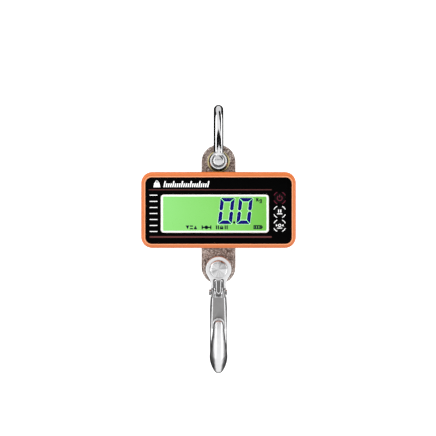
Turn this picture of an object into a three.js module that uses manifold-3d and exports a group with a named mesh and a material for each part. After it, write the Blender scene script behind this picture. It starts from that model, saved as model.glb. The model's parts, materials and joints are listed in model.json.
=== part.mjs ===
// A hanging crane scale: a shackle, a display case on a strain-gauged load plate, and a latched clevis hook.
// Millimetres. +X runs to the right across the display, +Y from the display to the back, +Z up.
// The origin is the inside of the shackle's crown, where the scale hangs.
import * as THREE from "three";
import { mergeVertices } from "three/addons/utils/BufferGeometryUtils.js";
import Module from "manifold-3d";

const wasm = await Module();
wasm.setup();

// ---------- Driving dimensions ----------

const GAP = 0.3; // clearance between pieces that touch on the real object

// The load line, down the middle of the scale
const UPPER_PIN_Z = -46.1;
const LOWER_PIN_Z = -148.6;

// Shackle
const ROD_RADIUS = 4.75;
const JAW_HALF = 9; // half the clear width between the legs
const EYE_RADIUS = 9;
const EYE_HALF = 4.5; // half the eye's thickness along the pin
const EYE_ROUNDING = 2.8; // of the eye's rims
const EYE_OUTER_Y = JAW_HALF + ROD_RADIUS + EYE_HALF;
const SHACKLE_PIN_RADIUS = 5.5;
const SHACKLE_PIN_DOME = 1.9; // how far the domed end stands out of the eye
const NUT_FLATS = 17;
const NUT_LENGTH = 7;
const NUT_Y = EYE_OUTER_Y + GAP;
const SHACKLE_COTTER_Y = NUT_Y + NUT_LENGTH + 3;
const COTTER_HOLE_RADIUS = 1.3;
const PIN_END_CHAMFER = 0.8;

// Load plate
const PLATE_HALF_WIDTH = 16.4;
const PLATE_HALF_DEPTH = 7;
const PLATE_BOTTOM_Z = -163.6;
const PLATE_STEP_Z = -134; // below this the edges are chamfered for the clevis
const PLATE_EDGE = 0.7;
const PLATE_LOWER_EDGE = 1.7;
const UPPER_BUSH_RADIUS = 7.4;
const LOWER_BUSH_RADIUS = 6.1;
const PRESS_GAP = 0.2; // between a bush and its hole in the plate
const RUNNING_GAP = 0.15; // between a pin and its bush
const BUSH_FLANGE_RADIUS = 10.6;
const BUSH_FLANGE = 1.5;
const BUSH_RIM_WIDTH = 1.1;
const BUSH_RIM_HEIGHT = 0.8; // how far the flange's rim stands proud of its middle
const GAUGE_POCKET_RADIUS = 10;
const GAUGE_POCKET_DEPTH = 4.5;
const GAUGE_WEB_Y = PLATE_HALF_DEPTH - GAUGE_POCKET_DEPTH;
const PLATE_SCREW_Z = [-70, -115.5];
const PLATE_SCREW_HOLE = 2.3;

// Case
const CASE_WIDTH = 145;
const CASE_HEIGHT = 71.4;
const CASE_Z = -92.6; // middle of the case
const CASE_CORNER = 10.5;
const CASE_FRONT_Y = -24;
const CASE_BACK_Y = 18;
const CASE_WALL = 2.5;
const CASE_EDGE = 3; // rounding of the front and back edges
const SPLIT_Y = -9.8; // plane of the gasket between the shells
const GASKET = 0.8;
const SLOT_HALF_WIDTH = 18.3;
const SLOT_HALF_DEPTH = 9.1;
const BOSS_INSET = 7; // of the corner screws from the case's sides
const CORNER_BOSSES = [-1, 1].flatMap((sideX) => [-1, 1].map((sideZ) => [
  sideX * (CASE_WIDTH / 2 - BOSS_INSET),
  CASE_Z + sideZ * (CASE_HEIGHT / 2 - BOSS_INSET),
]));
const BOSS_RADIUS = 3.9;
const CASE_SCREW_HOLE = 1.75;
const CASE_SCREW_SEAT_Y = 9;
const PLATE_SCREW_SEAT_Y = 12.4;
const CASE_FAR = 30; // beyond every face of the case

// Face of the case
const OVERLAY_WIDTH = 136.4;
const OVERLAY_HEIGHT = 61.8;
const OVERLAY_CORNER = 5.6;
const OVERLAY_Z = -93.2;
const OVERLAY_FRONT_Y = -22.7;
const OVERLAY_THICKNESS = 0.6;
const FACE_WALL_FRONT_Y = -22;
const FACE_WALL_BACK_Y = -20;
const LCD_X = -3.5;
const LCD_Z = -96.05;
const LCD_FRAME_WIDTH = 100.8;
const LCD_FRAME_HEIGHT = 35.5;
const LCD_FRAME_FRONT_Y = -23;
const LCD_VIEW_WIDTH = 96.8;
const LCD_VIEW_HEIGHT = 32;
const LENS_FRONT_Y = -21.6;
const LENS_BACK_Y = -20.8;

// Keys, from the top down
const KEY_X = 57.1;
const KEY_Z = { power: -81.4, hold: -94.4, tare: -107.3 };
const KEY_RADIUS = 4.9;
const KEY_FLANGE = 1.2; // how far the hidden flange stands out past the cap
const KEY_FRONT_Y = -22.95;
const KEY_TRAVEL = 0.5; // to the switch's plunger
const KEY_STEM_Y = -18.9; // the stem's end
const PLUNGER_GAP = 0.05;

// Main board
const BOARD_FRONT_Y = -14.3;
const BOARD_THICKNESS = 1.6;
const BOARD_BACK_Y = BOARD_FRONT_Y + BOARD_THICKNESS + 0.05; // where its components sit
const BOARD_BOSSES = [[-57, -69.5], [52, -69.5], [-57, -117.2], [52, -117.2]];

// Batteries: three AAA cells side by side
const CELL_RADIUS = 5.2;
const CELL_LENGTH = 44.2;
const CELL_PITCH = 11.2;
const BATTERY_X = -42;
const CELL_Y = 9.5;
const TRAY = { x0: -60, x1: -24, y0: 3, y1: 15.2, z0: -116.3, z1: -68.9 };
const BATTERY_DOOR = { x0: -60.2, x1: -23.8, z0: -116.5, z1: -68.7 }; // the door's own edges
const DOOR_FRONT_Y = CASE_BACK_Y - 1.9;

// Clevis hook
const CLEVIS_GAP_HALF = 7.75;
const CLEVIS_OUTER_HALF = 13.75;
const CLEVIS_EAR_RADIUS = 12.5;
const NECK_HALF_WIDTH = 7.35;
const NECK_TOP_Z = -165.5;
const NECK_BOTTOM_Z = -176;
const HOOK_PIN_RADIUS = 5;
const HOOK_PIN_HEAD_RADIUS = 8.5;
const HOOK_COTTER_Y = 18.6;
const BOWL_RADIUS = 15;
const BOWL_Z = -216.1;
const SADDLE_DEPTH = 0.25; // the flat ground at the lowest point of the bowl
const LUG_HALF_WIDTH = 2.2; // the lug between the latch's ears
const EAR_SWEEP_RADIUS = 5; // room cut for the latch's ears to turn in
const GROOVE_X = 3.7; // the two grooves up the neck's front that the spring's outer legs lie in
const GROOVE_HALF_WIDTH = 0.95;
const GROOVE_DEPTH = 2.15;
const GROOVE_TOP_Z = -158.2;

// Latch
const RIVET_Y = -10.5;
const RIVET_Z = -170.9;
const RIVET_RADIUS = 1.9;
const LATCH_SHEET = 1.3;
const LATCH_BEND_RADIUS = 1.9;
const LATCH_HALF_WIDTH = 6.9;
const LATCH_BOTTOM_Z = -204.8;
const LATCH_WEB_TOP_Z = -175.6;
const WEB_TOP_Y = -14.7;
const WEB_BOTTOM_Y = -15.5;
const LATCH_EAR_RADIUS = 4.2;
const LATCH_TAPER = 0.9; // how much wider each side is at the bottom than at the top
const SPRING_WIRE_RADIUS = 0.65;
const SPRING_COIL_RADIUS = 2.9;

// ---------- Solids ----------

function solidOf(geometry) {
  const bare = geometry.index ? geometry.toNonIndexed() : geometry.clone();
  bare.deleteAttribute("normal");
  bare.deleteAttribute("uv");
  const merged = mergeVertices(bare, 1e-4);
  const vertProperties = merged.attributes.position.array;
  const triVerts = new Uint32Array(merged.index.array);
  return new wasm.Manifold(new wasm.Mesh({ numProp: 3, vertProperties, triVerts }));
}

function geometryOf(solid) {
  const { vertProperties, triVerts } = solid.getMesh();
  const geometry = new THREE.BufferGeometry();
  geometry.setAttribute("position", new THREE.BufferAttribute(new Float32Array(vertProperties), 3));
  geometry.setIndex(new THREE.BufferAttribute(new Uint32Array(triVerts), 1));
  return geometry;
}

const join = (first, ...others) => others.reduce((whole, other) => whole.add(other), first);
const cut = (first, ...tools) => tools.reduce((whole, tool) => whole.subtract(tool), first);

function box(x0, x1, y0, y1, z0, z1) {
  const geometry = new THREE.BoxGeometry(x1 - x0, y1 - y0, z1 - z0);
  return solidOf(geometry.translate((x0 + x1) / 2, (y0 + y1) / 2, (z0 + z1) / 2));
}

function cylinderY(radius, y0, y1, x, z, sides = 32) {
  const geometry = new THREE.CylinderGeometry(radius, radius, y1 - y0, sides);
  return solidOf(geometry.translate(x, (y0 + y1) / 2, z));
}

function cylinderX(radius, x0, x1, y, z, sides = 24) {
  const geometry = new THREE.CylinderGeometry(radius, radius, x1 - x0, sides).rotateZ(Math.PI / 2);
  return solidOf(geometry.translate((x0 + x1) / 2, y, z));
}

function cylinderZ(radius, z0, z1, x, y, sides = 24) {
  const geometry = new THREE.CylinderGeometry(radius, radius, z1 - z0, sides).rotateX(Math.PI / 2);
  return solidOf(geometry.translate(x, y, (z0 + z1) / 2));
}

// A shape drawn in (x, z) and extruded from y0 to y1; bevel rounds both ends.
function extrudeY(shape, y0, y1, { bevel = 0, segments = 10, bevelSegments = 3 } = {}) {
  const geometry = new THREE.ExtrudeGeometry(shape, {
    depth: y1 - y0 - 2 * bevel,
    bevelEnabled: bevel > 0,
    bevelThickness: bevel,
    bevelSize: bevel,
    bevelOffset: -bevel,
    bevelSegments,
    curveSegments: segments,
  });
  return solidOf(geometry.rotateX(Math.PI / 2).translate(0, y1 - bevel, 0));
}

// A shape drawn in (y, z) and extruded from x0 to x1.
function extrudeX(shape, x0, x1, segments = 12) {
  const geometry = new THREE.ExtrudeGeometry(shape, {
    depth: x1 - x0,
    bevelEnabled: false,
    curveSegments: segments,
  });
  const axes = new THREE.Matrix4().makeBasis(
    new THREE.Vector3(0, 1, 0),
    new THREE.Vector3(0, 0, 1),
    new THREE.Vector3(1, 0, 0),
  );
  return solidOf(geometry.applyMatrix4(axes).translate(x0, 0, 0));
}

// A profile of [radius, y] points turned about an axis that runs along Y through (x, z).
function latheY(profile, x, z, sides = 32) {
  const points = profile.map(([radius, y]) => new THREE.Vector2(radius, y));
  return solidOf(new THREE.LatheGeometry(points, sides).translate(x, 0, z));
}

// A round wire of the given radius along a curve.
function wire(curve, radius, steps, sides = 8) {
  const section = new THREE.Shape();
  section.absarc(0, 0, radius, 0, 2 * Math.PI);
  const geometry = new THREE.ExtrudeGeometry(section, {
    steps,
    extrudePath: curve,
    bevelEnabled: false,
    curveSegments: sides,
  });
  return solidOf(geometry);
}

function curveThrough(points, tension = 0.5) {
  const vectors = points.map(([x, y, z]) => new THREE.Vector3(x, y, z));
  return new THREE.CatmullRomCurve3(vectors, false, "catmullrom", tension);
}

// A solid through rings that each hold the same number of points, closed by a fan at each end.
function loft(rings) {
  const corners = [];
  const triangle = (a, b, c) => corners.push(...a, ...b, ...c);
  const middle = (ring) => [0, 1, 2].map((i) => ring.reduce((sum, p) => sum + p[i], 0) / ring.length);
  const count = rings[0].length;
  const first = rings[0];
  const last = rings[rings.length - 1];
  for (let j = 0; j < count; j += 1) {
    const next = (j + 1) % count;
    triangle(middle(first), first[next], first[j]);
    triangle(middle(last), last[j], last[next]);
    for (let i = 0; i + 1 < rings.length; i += 1) {
      triangle(rings[i][j], rings[i][next], rings[i + 1][next]);
      triangle(rings[i][j], rings[i + 1][next], rings[i + 1][j]);
    }
  }
  const geometry = new THREE.BufferGeometry();
  geometry.setAttribute("position", new THREE.Float32BufferAttribute(corners, 3));
  return solidOf(geometry);
}

// ---------- Outlines ----------

function roundedRect(width, height, radius, x, z) {
  const right = x + width / 2 - radius;
  const left = x - width / 2 + radius;
  const top = z + height / 2 - radius;
  const bottom = z - height / 2 + radius;
  const shape = new THREE.Shape();
  shape.absarc(right, bottom, radius, -Math.PI / 2, 0);
  shape.absarc(right, top, radius, 0, Math.PI / 2);
  shape.absarc(left, top, radius, Math.PI / 2, Math.PI);
  shape.absarc(left, bottom, radius, Math.PI, 1.5 * Math.PI);
  shape.closePath();
  return shape;
}

// An upright bar with half-round ends about the two centre heights.
function stadium(radius, topCentreZ, bottomCentreZ) {
  const shape = new THREE.Shape();
  shape.absarc(0, topCentreZ, radius, 0, Math.PI);
  shape.absarc(0, bottomCentreZ, radius, Math.PI, 2 * Math.PI);
  shape.closePath();
  return shape;
}

// The case's outline, pulled in by inset on every side.
function caseOutline(inset) {
  const corner = CASE_CORNER - inset;
  return roundedRect(CASE_WIDTH - 2 * inset, CASE_HEIGHT - 2 * inset, corner, 0, CASE_Z);
}

// ---------- Shackle ----------

function shackleBow() {
  const legY = JAW_HALF + ROD_RADIUS;
  const crownZ = ROD_RADIUS - legY;
  const legBottomZ = UPPER_PIN_Z + EYE_RADIUS - 1.5;
  const at = (y, z) => new THREE.Vector3(0, y, z);
  const path = new THREE.CurvePath();
  path.add(new THREE.LineCurve3(at(-legY, legBottomZ), at(-legY, crownZ)));
  const crownPoints = [];
  for (let i = 0; i <= 12; i += 1) {
    const angle = Math.PI - (i / 12) * Math.PI;
    crownPoints.push(at(legY * Math.cos(angle), crownZ + legY * Math.sin(angle)));
  }
  path.add(new THREE.CatmullRomCurve3(crownPoints));
  path.add(new THREE.LineCurve3(at(legY, crownZ), at(legY, legBottomZ)));
  const rod = wire(path, ROD_RADIUS, 30, 7);
  const eyes = [-legY, legY].map((y) => {
    const outline = new THREE.Shape();
    outline.absarc(0, UPPER_PIN_Z, EYE_RADIUS, 0, 2 * Math.PI);
    const rounding = { bevel: EYE_ROUNDING, segments: 14, bevelSegments: 4 };
    return extrudeY(outline, y - EYE_HALF, y + EYE_HALF, rounding);
  });
  const bore = cylinderY(SHACKLE_PIN_RADIUS + 0.1, -30, 30, 0, UPPER_PIN_Z, 28);
  return cut(join(rod, ...eyes), bore);
}

// The hole across a pin at y for its cotter.
const cotterHole = (y, z) => cylinderZ(COTTER_HOLE_RADIUS, z - 8, z + 8, 0, y, 12);

// A plain pin with a domed end in front and a drilled end behind for the cotter.
function shacklePin() {
  const radius = SHACKLE_PIN_RADIUS;
  const backY = SHACKLE_COTTER_Y + 2.2;
  const domeSteps = 5;
  const profile = [];
  for (let i = 0; i <= domeSteps; i += 1) {
    const angle = ((i / domeSteps) * Math.PI) / 2;
    profile.push([radius * Math.sin(angle), -EYE_OUTER_Y - SHACKLE_PIN_DOME * Math.cos(angle)]);
  }
  profile.push([radius, backY - PIN_END_CHAMFER], [radius - PIN_END_CHAMFER, backY], [0, backY]);
  return cut(latheY(profile, 0, UPPER_PIN_Z, 28), cotterHole(SHACKLE_COTTER_Y, UPPER_PIN_Z));
}

function hexNut(flats, boreRadius, y0, y1, z) {
  const outline = new THREE.Shape();
  for (let i = 0; i < 6; i += 1) {
    const angle = (i * Math.PI) / 3;
    const corner = flats / Math.sqrt(3);
    const point = [corner * Math.cos(angle), z + corner * Math.sin(angle)];
    if (i === 0) outline.moveTo(...point);
    else outline.lineTo(...point);
  }
  outline.closePath();
  return cut(extrudeY(outline, y0, y1), cylinderY(boreRadius, y0 - 1, y1 + 1, 0, z, 30));
}

// A split pin standing in a cross hole: a shank, a ring above it and two spread tails below.
function cotter(y, z, holderRadius) {
  const shankRadius = 1;
  const wireRadius = 0.8;
  const ringRadius = 1.9;
  const ring = new THREE.TorusGeometry(ringRadius, wireRadius, 6, 12).rotateY(Math.PI / 2);
  const ringZ = z + holderRadius + 2.6;
  const tailTopZ = z - holderRadius - 0.6;
  const tails = [-1, 1].map((side) => {
    const bend = [[0, tailTopZ + 1.2], [side * 0.3, tailTopZ], [side * 1.5, tailTopZ - 1.8]];
    return wire(curveThrough(bend.map(([spread, height]) => [0, y + spread, height])), 0.7, 4, 3);
  });
  const shank = cylinderZ(shankRadius, tailTopZ, ringZ - 1.4, 0, y, 12);
  return join(shank, solidOf(ring.translate(0, y, ringZ)), ...tails);
}

// ---------- Load plate and its bushes ----------

function loadPlate() {
  const radius = PLATE_HALF_WIDTH;
  const outline = stadium(radius, UPPER_PIN_Z, PLATE_BOTTOM_Z + radius);
  const bar = (bevel) => {
    const rounding = { bevel, segments: 10, bevelSegments: 1 };
    return extrudeY(outline, -PLATE_HALF_DEPTH, PLATE_HALF_DEPTH, rounding);
  };
  const upper = bar(PLATE_EDGE).intersect(box(-40, 40, -20, 20, PLATE_STEP_Z, 0));
  const lower = bar(PLATE_LOWER_EDGE).intersect(box(-40, 40, -20, 20, -200, PLATE_STEP_Z));
  return cut(
    join(upper, lower),
    cylinderY(UPPER_BUSH_RADIUS + PRESS_GAP, -20, 20, 0, UPPER_PIN_Z, 28),
    cylinderY(LOWER_BUSH_RADIUS + PRESS_GAP, -20, 20, 0, LOWER_PIN_Z, 28),
    cylinderY(GAUGE_POCKET_RADIUS, -20, -GAUGE_WEB_Y, 0, CASE_Z, 24),
    cylinderY(GAUGE_POCKET_RADIUS, GAUGE_WEB_Y, 20, 0, CASE_Z, 24),
    ...PLATE_SCREW_Z.map((z) => cylinderY(PLATE_SCREW_HOLE, 0.5, 20, 0, z, 16)),
  );
}

// One half of the upper bush: a sleeve in the plate's hole with a rimmed flange on the plate's face.
function upperBush(side) {
  const inner = SHACKLE_PIN_RADIUS + RUNNING_GAP;
  const sleeveEnd = 0.1;
  const faceY = PLATE_HALF_DEPTH + 0.05;
  const flangeEnd = faceY + BUSH_FLANGE;
  const middleEnd = flangeEnd - BUSH_RIM_HEIGHT;
  const edge = 0.35;
  const rimInner = BUSH_FLANGE_RADIUS - BUSH_RIM_WIDTH;
  const profile = [
    [inner, sleeveEnd], [UPPER_BUSH_RADIUS, sleeveEnd], [UPPER_BUSH_RADIUS, faceY],
    [BUSH_FLANGE_RADIUS, faceY], [BUSH_FLANGE_RADIUS, flangeEnd - edge],
    [BUSH_FLANGE_RADIUS - edge, flangeEnd], [rimInner, flangeEnd],
    [rimInner - edge, middleEnd], [inner, middleEnd], [inner, sleeveEnd],
  ];
  const turned = side < 0 ? profile.map(([r, y]) => [r, -y]).reverse() : profile;
  return latheY(turned, 0, UPPER_PIN_Z, 28);
}

function lowerBush() {
  const outer = cylinderY(LOWER_BUSH_RADIUS, -PLATE_HALF_DEPTH, PLATE_HALF_DEPTH, 0, LOWER_PIN_Z, 28);
  return cut(outer, cylinderY(HOOK_PIN_RADIUS + RUNNING_GAP, -20, 20, 0, LOWER_PIN_Z, 28));
}

function strainGauge(side) {
  const near = GAUGE_WEB_Y + 0.05;
  const ys = [side * near, side * (near + 0.4)].sort((a, b) => a - b);
  return box(-5, 5, ys[0], ys[1], CASE_Z - 3.5, CASE_Z + 3.5);
}

function gaugePotting(side) {
  const ys = [side * (GAUGE_WEB_Y + 0.6), side * (PLATE_HALF_DEPTH - 0.3)].sort((a, b) => a - b);
  return cylinderY(GAUGE_POCKET_RADIUS - 0.2, ys[0], ys[1], 0, CASE_Z, 24);
}

// ---------- Case ----------

// The whole case's outer form between two planes, with its front and back edges rounded.
function caseBlock(y0, y1, keepY0, keepY1) {
  const block = extrudeY(caseOutline(0), y0, y1, { bevel: CASE_EDGE, bevelSegments: 4, segments: 5 });
  return block.intersect(box(-90, 90, keepY0, keepY1, -140, -40));
}

// Round posts, or the holes for them, along Y at each of the places.
function posts(places, radius, y0, y1, sides) {
  return places.map(([x, z]) => cylinderY(radius, y0, y1, x, z, sides));
}

function frontShell() {
  const endY = SPLIT_Y - GASKET / 2;
  const outside = caseBlock(CASE_FRONT_Y, CASE_FAR, -40, endY - GAP / 3);
  const hollow = extrudeY(caseOutline(CASE_WALL), FACE_WALL_BACK_Y, 0, { segments: 4 });
  const recessWidth = OVERLAY_WIDTH + 2 * GAP;
  const recessHeight = OVERLAY_HEIGHT + 2 * GAP;
  const faceRecess = roundedRect(recessWidth, recessHeight, OVERLAY_CORNER + GAP, 0, OVERLAY_Z);
  const lcdHole = roundedRect(LCD_VIEW_WIDTH + 2, LCD_VIEW_HEIGHT + 2, 1.5, LCD_X, LCD_Z);
  const shell = cut(
    outside,
    hollow,
    extrudeY(faceRecess, -40, FACE_WALL_FRONT_Y, { segments: 3 }),
    extrudeY(lcdHole, -40, 0, { segments: 3 }),
    ...Object.values(KEY_Z).map((z) => cylinderY(KEY_RADIUS + GAP, -40, 0, KEY_X, z, 20)),
  );
  const rootY = FACE_WALL_BACK_Y - 0.5;
  const holeY = FACE_WALL_BACK_Y + 0.6;
  return cut(
    join(
      shell,
      ...posts(CORNER_BOSSES, BOSS_RADIUS, rootY, endY - 0.1, 16),
      ...posts(BOARD_BOSSES, 2.8, rootY, BOARD_FRONT_Y - 0.1, 14),
    ),
    ...posts(CORNER_BOSSES, CASE_SCREW_HOLE, holeY, 0, 12),
    ...posts(BOARD_BOSSES, 1.3, holeY, 0, 12),
  );
}

function doorOutline(inset) {
  const { x0, x1, z0, z1 } = BATTERY_DOOR;
  return roundedRect(x1 - x0 - 2 * inset, z1 - z0 - 2 * inset, 3 - inset, (x0 + x1) / 2, (z0 + z1) / 2);
}

function rearShell() {
  const frontY = SPLIT_Y + GASKET / 2 + GAP / 3;
  const rootY = CASE_BACK_Y - 1;
  const outside = caseBlock(-CASE_FAR, CASE_BACK_Y, frontY, 40);
  const hollow = extrudeY(caseOutline(CASE_WALL), -20, CASE_BACK_Y - CASE_WALL, { segments: 4 });
  const slot = box(-SLOT_HALF_WIDTH, SLOT_HALF_WIDTH, -20, SLOT_HALF_DEPTH, -160, -20);
  const plateScrews = PLATE_SCREW_Z.map((z) => [0, z]);
  const solid = join(
    cut(outside, hollow, slot),
    ...posts(CORNER_BOSSES, BOSS_RADIUS, frontY, rootY, 16),
    ...posts(plateScrews, 4.5, PLATE_HALF_DEPTH + GAP, rootY, 16),
  );
  return cut(
    solid,
    extrudeY(doorOutline(-GAP), DOOR_FRONT_Y - 0.1, CASE_FAR, { segments: 4 }),
    extrudeY(doorOutline(1.8), -5, CASE_FAR, { segments: 4 }),
    ...posts(CORNER_BOSSES, CASE_SCREW_HOLE, -20, CASE_FAR, 12),
    ...posts(CORNER_BOSSES, 3.3, CASE_SCREW_SEAT_Y, CASE_FAR, 20),
    ...posts(plateScrews, PLATE_SCREW_HOLE, 0, CASE_FAR, 16),
    ...posts(plateScrews, 4, PLATE_SCREW_SEAT_Y, CASE_FAR, 20),
  );
}

function caseGasket() {
  const ring = (inset, y0, y1) => extrudeY(caseOutline(inset), y0, y1, { segments: 4 });
  const outside = ring(0.6, SPLIT_Y - GASKET / 2, SPLIT_Y + GASKET / 2);
  return cut(outside, ring(1.9, SPLIT_Y - 2, SPLIT_Y + 2));
}

// A rubber collar that closes the slot round the plate; side is +1 at the case's top and -1 at its bottom.
function plateSeal(side) {
  const outerZ = CASE_Z + (side * CASE_HEIGHT) / 2;
  const innerZ = CASE_Z + side * (CASE_HEIGHT / 2 - 3.2);
  const [z0, z1] = [outerZ, innerZ].sort((a, b) => a - b);
  const outerX = SLOT_HALF_WIDTH - GAP;
  const outerY = SLOT_HALF_DEPTH - GAP - 0.1;
  const innerX = PLATE_HALF_WIDTH + GAP;
  const innerY = PLATE_HALF_DEPTH + GAP;
  return cut(
    box(-outerX, outerX, -outerY, outerY, z0, z1),
    box(-innerX, innerX, -innerY, innerY, z0 - 1, z1 + 1),
  );
}

// A pan-head screw along Y, its head behind.
function screwY(x, z, headY, tipY, shankRadius, headRadius, headHeight) {
  const topY = headY + headHeight;
  const profile = [
    [0, tipY], [shankRadius * 0.6, tipY + 0.3], [shankRadius, tipY + 1.2], [shankRadius, headY],
    [headRadius, headY], [headRadius, headY + headHeight * 0.6], [headRadius * 0.7, topY], [0, topY],
  ];
  const slotY = headY + headHeight * 0.5;
  const arm = headRadius * 0.6;
  const half = 0.25;
  const crossSlots = [
    box(x - arm, x + arm, slotY, topY + 1, z - half, z + half),
    box(x - half, x + half, slotY, topY + 1, z - arm, z + arm),
  ];
  return cut(latheY(profile, x, z, 12), ...crossSlots);
}

// ---------- Face: overlay, display and keys ----------

function frontOverlay() {
  const outline = roundedRect(OVERLAY_WIDTH, OVERLAY_HEIGHT, OVERLAY_CORNER, 0, OVERLAY_Z);
  const sheet = extrudeY(outline, OVERLAY_FRONT_Y, OVERLAY_FRONT_Y + OVERLAY_THICKNESS, { segments: 6 });
  const frameHole = roundedRect(LCD_FRAME_WIDTH + 0.4, LCD_FRAME_HEIGHT + 0.4, 3, LCD_X, LCD_Z);
  const keys = Object.values(KEY_Z).map((z) => cylinderY(KEY_RADIUS + 0.2, -40, 0, KEY_X, z, 20));
  return cut(sheet, extrudeY(frameHole, -40, 0, { segments: 3 }), ...keys);
}

function lcdFrame() {
  const rim = roundedRect(LCD_FRAME_WIDTH, LCD_FRAME_HEIGHT, 2.8, LCD_X, LCD_Z);
  const sleeve = roundedRect(LCD_VIEW_WIDTH + 1.4, LCD_VIEW_HEIGHT + 1.4, 1.3, LCD_X, LCD_Z);
  const view = roundedRect(LCD_VIEW_WIDTH, LCD_VIEW_HEIGHT, 0.8, LCD_X, LCD_Z);
  const rounding = { bevel: 0.25, segments: 3, bevelSegments: 1 };
  return cut(
    join(
      extrudeY(rim, LCD_FRAME_FRONT_Y, FACE_WALL_FRONT_Y - 0.1, rounding),
      extrudeY(sleeve, FACE_WALL_FRONT_Y - 0.3, FACE_WALL_BACK_Y, { segments: 3 }),
    ),
    extrudeY(view, -40, 0, { segments: 2 }),
  );
}

function lcdWindow() {
  const lens = roundedRect(LCD_VIEW_WIDTH - 0.4, LCD_VIEW_HEIGHT - 0.4, 0.6, LCD_X, LCD_Z);
  return extrudeY(lens, LENS_FRONT_Y, LENS_BACK_Y, { segments: 2 });
}

// A flat layer of the display stack, centred on the view.
function lcdLayer(width, height, y0, y1) {
  const halfWidth = width / 2;
  const halfHeight = height / 2;
  return box(LCD_X - halfWidth, LCD_X + halfWidth, y0, y1, LCD_Z - halfHeight, LCD_Z + halfHeight);
}

// A key cap: a disc in the face, a flange behind the wall that keeps it in, and a stem for the switch.
function keyCap(z) {
  const flangeRadius = KEY_RADIUS + KEY_FLANGE;
  const flangeY0 = FACE_WALL_BACK_Y + 0.1;
  const flangeY1 = flangeY0 + 0.8;
  const stem = 2;
  const profile = [
    [0, KEY_FRONT_Y], [KEY_RADIUS - 0.3, KEY_FRONT_Y], [KEY_RADIUS, KEY_FRONT_Y + 0.25],
    [KEY_RADIUS, flangeY0], [flangeRadius, flangeY0], [flangeRadius, flangeY1],
    [stem, flangeY1], [stem, KEY_STEM_Y], [0, KEY_STEM_Y],
  ];
  return latheY(profile, KEY_X, z, 20);
}

// A switch on the board whose plunger stands just beyond the key's travel.
function tactSwitch(z) {
  const half = 3;
  const bodyFrontY = -17.9;
  const body = box(KEY_X - half, KEY_X + half, bodyFrontY, BOARD_FRONT_Y - 0.1, z - half, z + half);
  const plungerY = KEY_STEM_Y + KEY_TRAVEL + PLUNGER_GAP;
  return join(body, cylinderY(1.6, plungerY, bodyFrontY + 0.1, KEY_X, z, 16));
}

// ---------- Electronics ----------

function mainBoard() {
  const y1 = BOARD_FRONT_Y + BOARD_THICKNESS;
  const holes = BOARD_BOSSES.map(([x, z]) => cylinderY(1.5, -20, 0, x, z, 14));
  return cut(box(-61, 61, BOARD_FRONT_Y, y1, -120.5, -66.3), ...holes);
}

function chip(x, z, width, height, thickness) {
  return box(x, x + width, BOARD_BACK_Y, BOARD_BACK_Y + thickness, z, z + height);
}

// From the front gauge's potting, over the plate's edge, to the back of the board.
function gaugeCable() {
  const path = curveThrough([
    [6, -7, -86], [6.4, -8.6, -86], [14, -9.3, -85],
    [22, -9.4, -84], [27, -10.4, -84], [27, -12.2, -84],
  ]);
  return wire(path, 1.1, 16, 3);
}

// From the battery tray, past the plate's slot, to the back of the board.
function batteryLead() {
  const path = curveThrough([
    [-21.5, 3, -74], [-19.4, 1, -74], [-18.6, -5, -74], [-20, -8.6, -74],
    [-27, -9.4, -74], [-31, -10.4, -74], [-31, -12.2, -74],
  ]);
  return wire(path, 1, 20, 3);
}

// ---------- Batteries ----------

function batteryTray() {
  const wall = 1;
  const { x0, x1, y0, y1, z0, z1 } = TRAY;
  const inside = box(x0 + wall, x1 - wall, y0 + wall, y1 + 5, z0 + wall, z1 - wall);
  return cut(box(x0, x1, y0, y1, z0, z1), inside);
}

// An AAA cell standing on end, the middle one turned over.
function batteryCell(index) {
  const x = BATTERY_X + (index - 1) * CELL_PITCH;
  const z0 = CASE_Z - CELL_LENGTH / 2;
  const nubRadius = 1.9;
  const canTop = CELL_LENGTH - 0.9;
  const edge = 0.5;
  const profile = [
    [0, 0], [CELL_RADIUS - edge, 0], [CELL_RADIUS, edge], [CELL_RADIUS, canTop - edge],
    [CELL_RADIUS - edge, canTop], [nubRadius, canTop], [nubRadius, CELL_LENGTH], [0, CELL_LENGTH],
  ];
  const points = profile.map(([radius, height]) => new THREE.Vector2(radius, height));
  const turned = index === 1;
  const geometry = new THREE.LatheGeometry(points, 14).rotateX(turned ? -Math.PI / 2 : Math.PI / 2);
  return solidOf(geometry.translate(x, CELL_Y, turned ? z0 + CELL_LENGTH : z0));
}

// A nickel strip across the ends of the three cells.
function batteryContact(side) {
  const innerZ = CASE_Z + side * (CELL_LENGTH / 2 + 0.1);
  const outerZ = innerZ + side * 0.4;
  const [z0, z1] = [innerZ, outerZ].sort((a, b) => a - b);
  return box(TRAY.x0 + 1.3, TRAY.x1 - 1.3, CELL_Y - 4, CELL_Y + 4, z0, z1);
}

// The door sits flush in the back: grip grooves near its top, a thumb recess near its lower edge, and a plug
// behind it that enters the opening.
function batteryDoor() {
  const cover = extrudeY(doorOutline(0), DOOR_FRONT_Y, CASE_BACK_Y, { segments: 4 });
  const plug = extrudeY(doorOutline(2.1), DOOR_FRONT_Y - 0.6, DOOR_FRONT_Y + 0.5, { segments: 4 });
  const thumb = cylinderX(5, BATTERY_X - 8, BATTERY_X + 8, CASE_BACK_Y + 4, BATTERY_DOOR.z0 + 6);
  const grooves = [0, 1, 2, 3].map((i) => {
    const z = BATTERY_DOOR.z1 - 8 - 2.4 * i;
    return box(BATTERY_X - 12, BATTERY_X + 12, CASE_BACK_Y - 0.6, CASE_BACK_Y + 1, z, z + 1);
  });
  return cut(join(cover, plug), thumb, ...grooves);
}

// ---------- Clevis hook ----------

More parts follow.
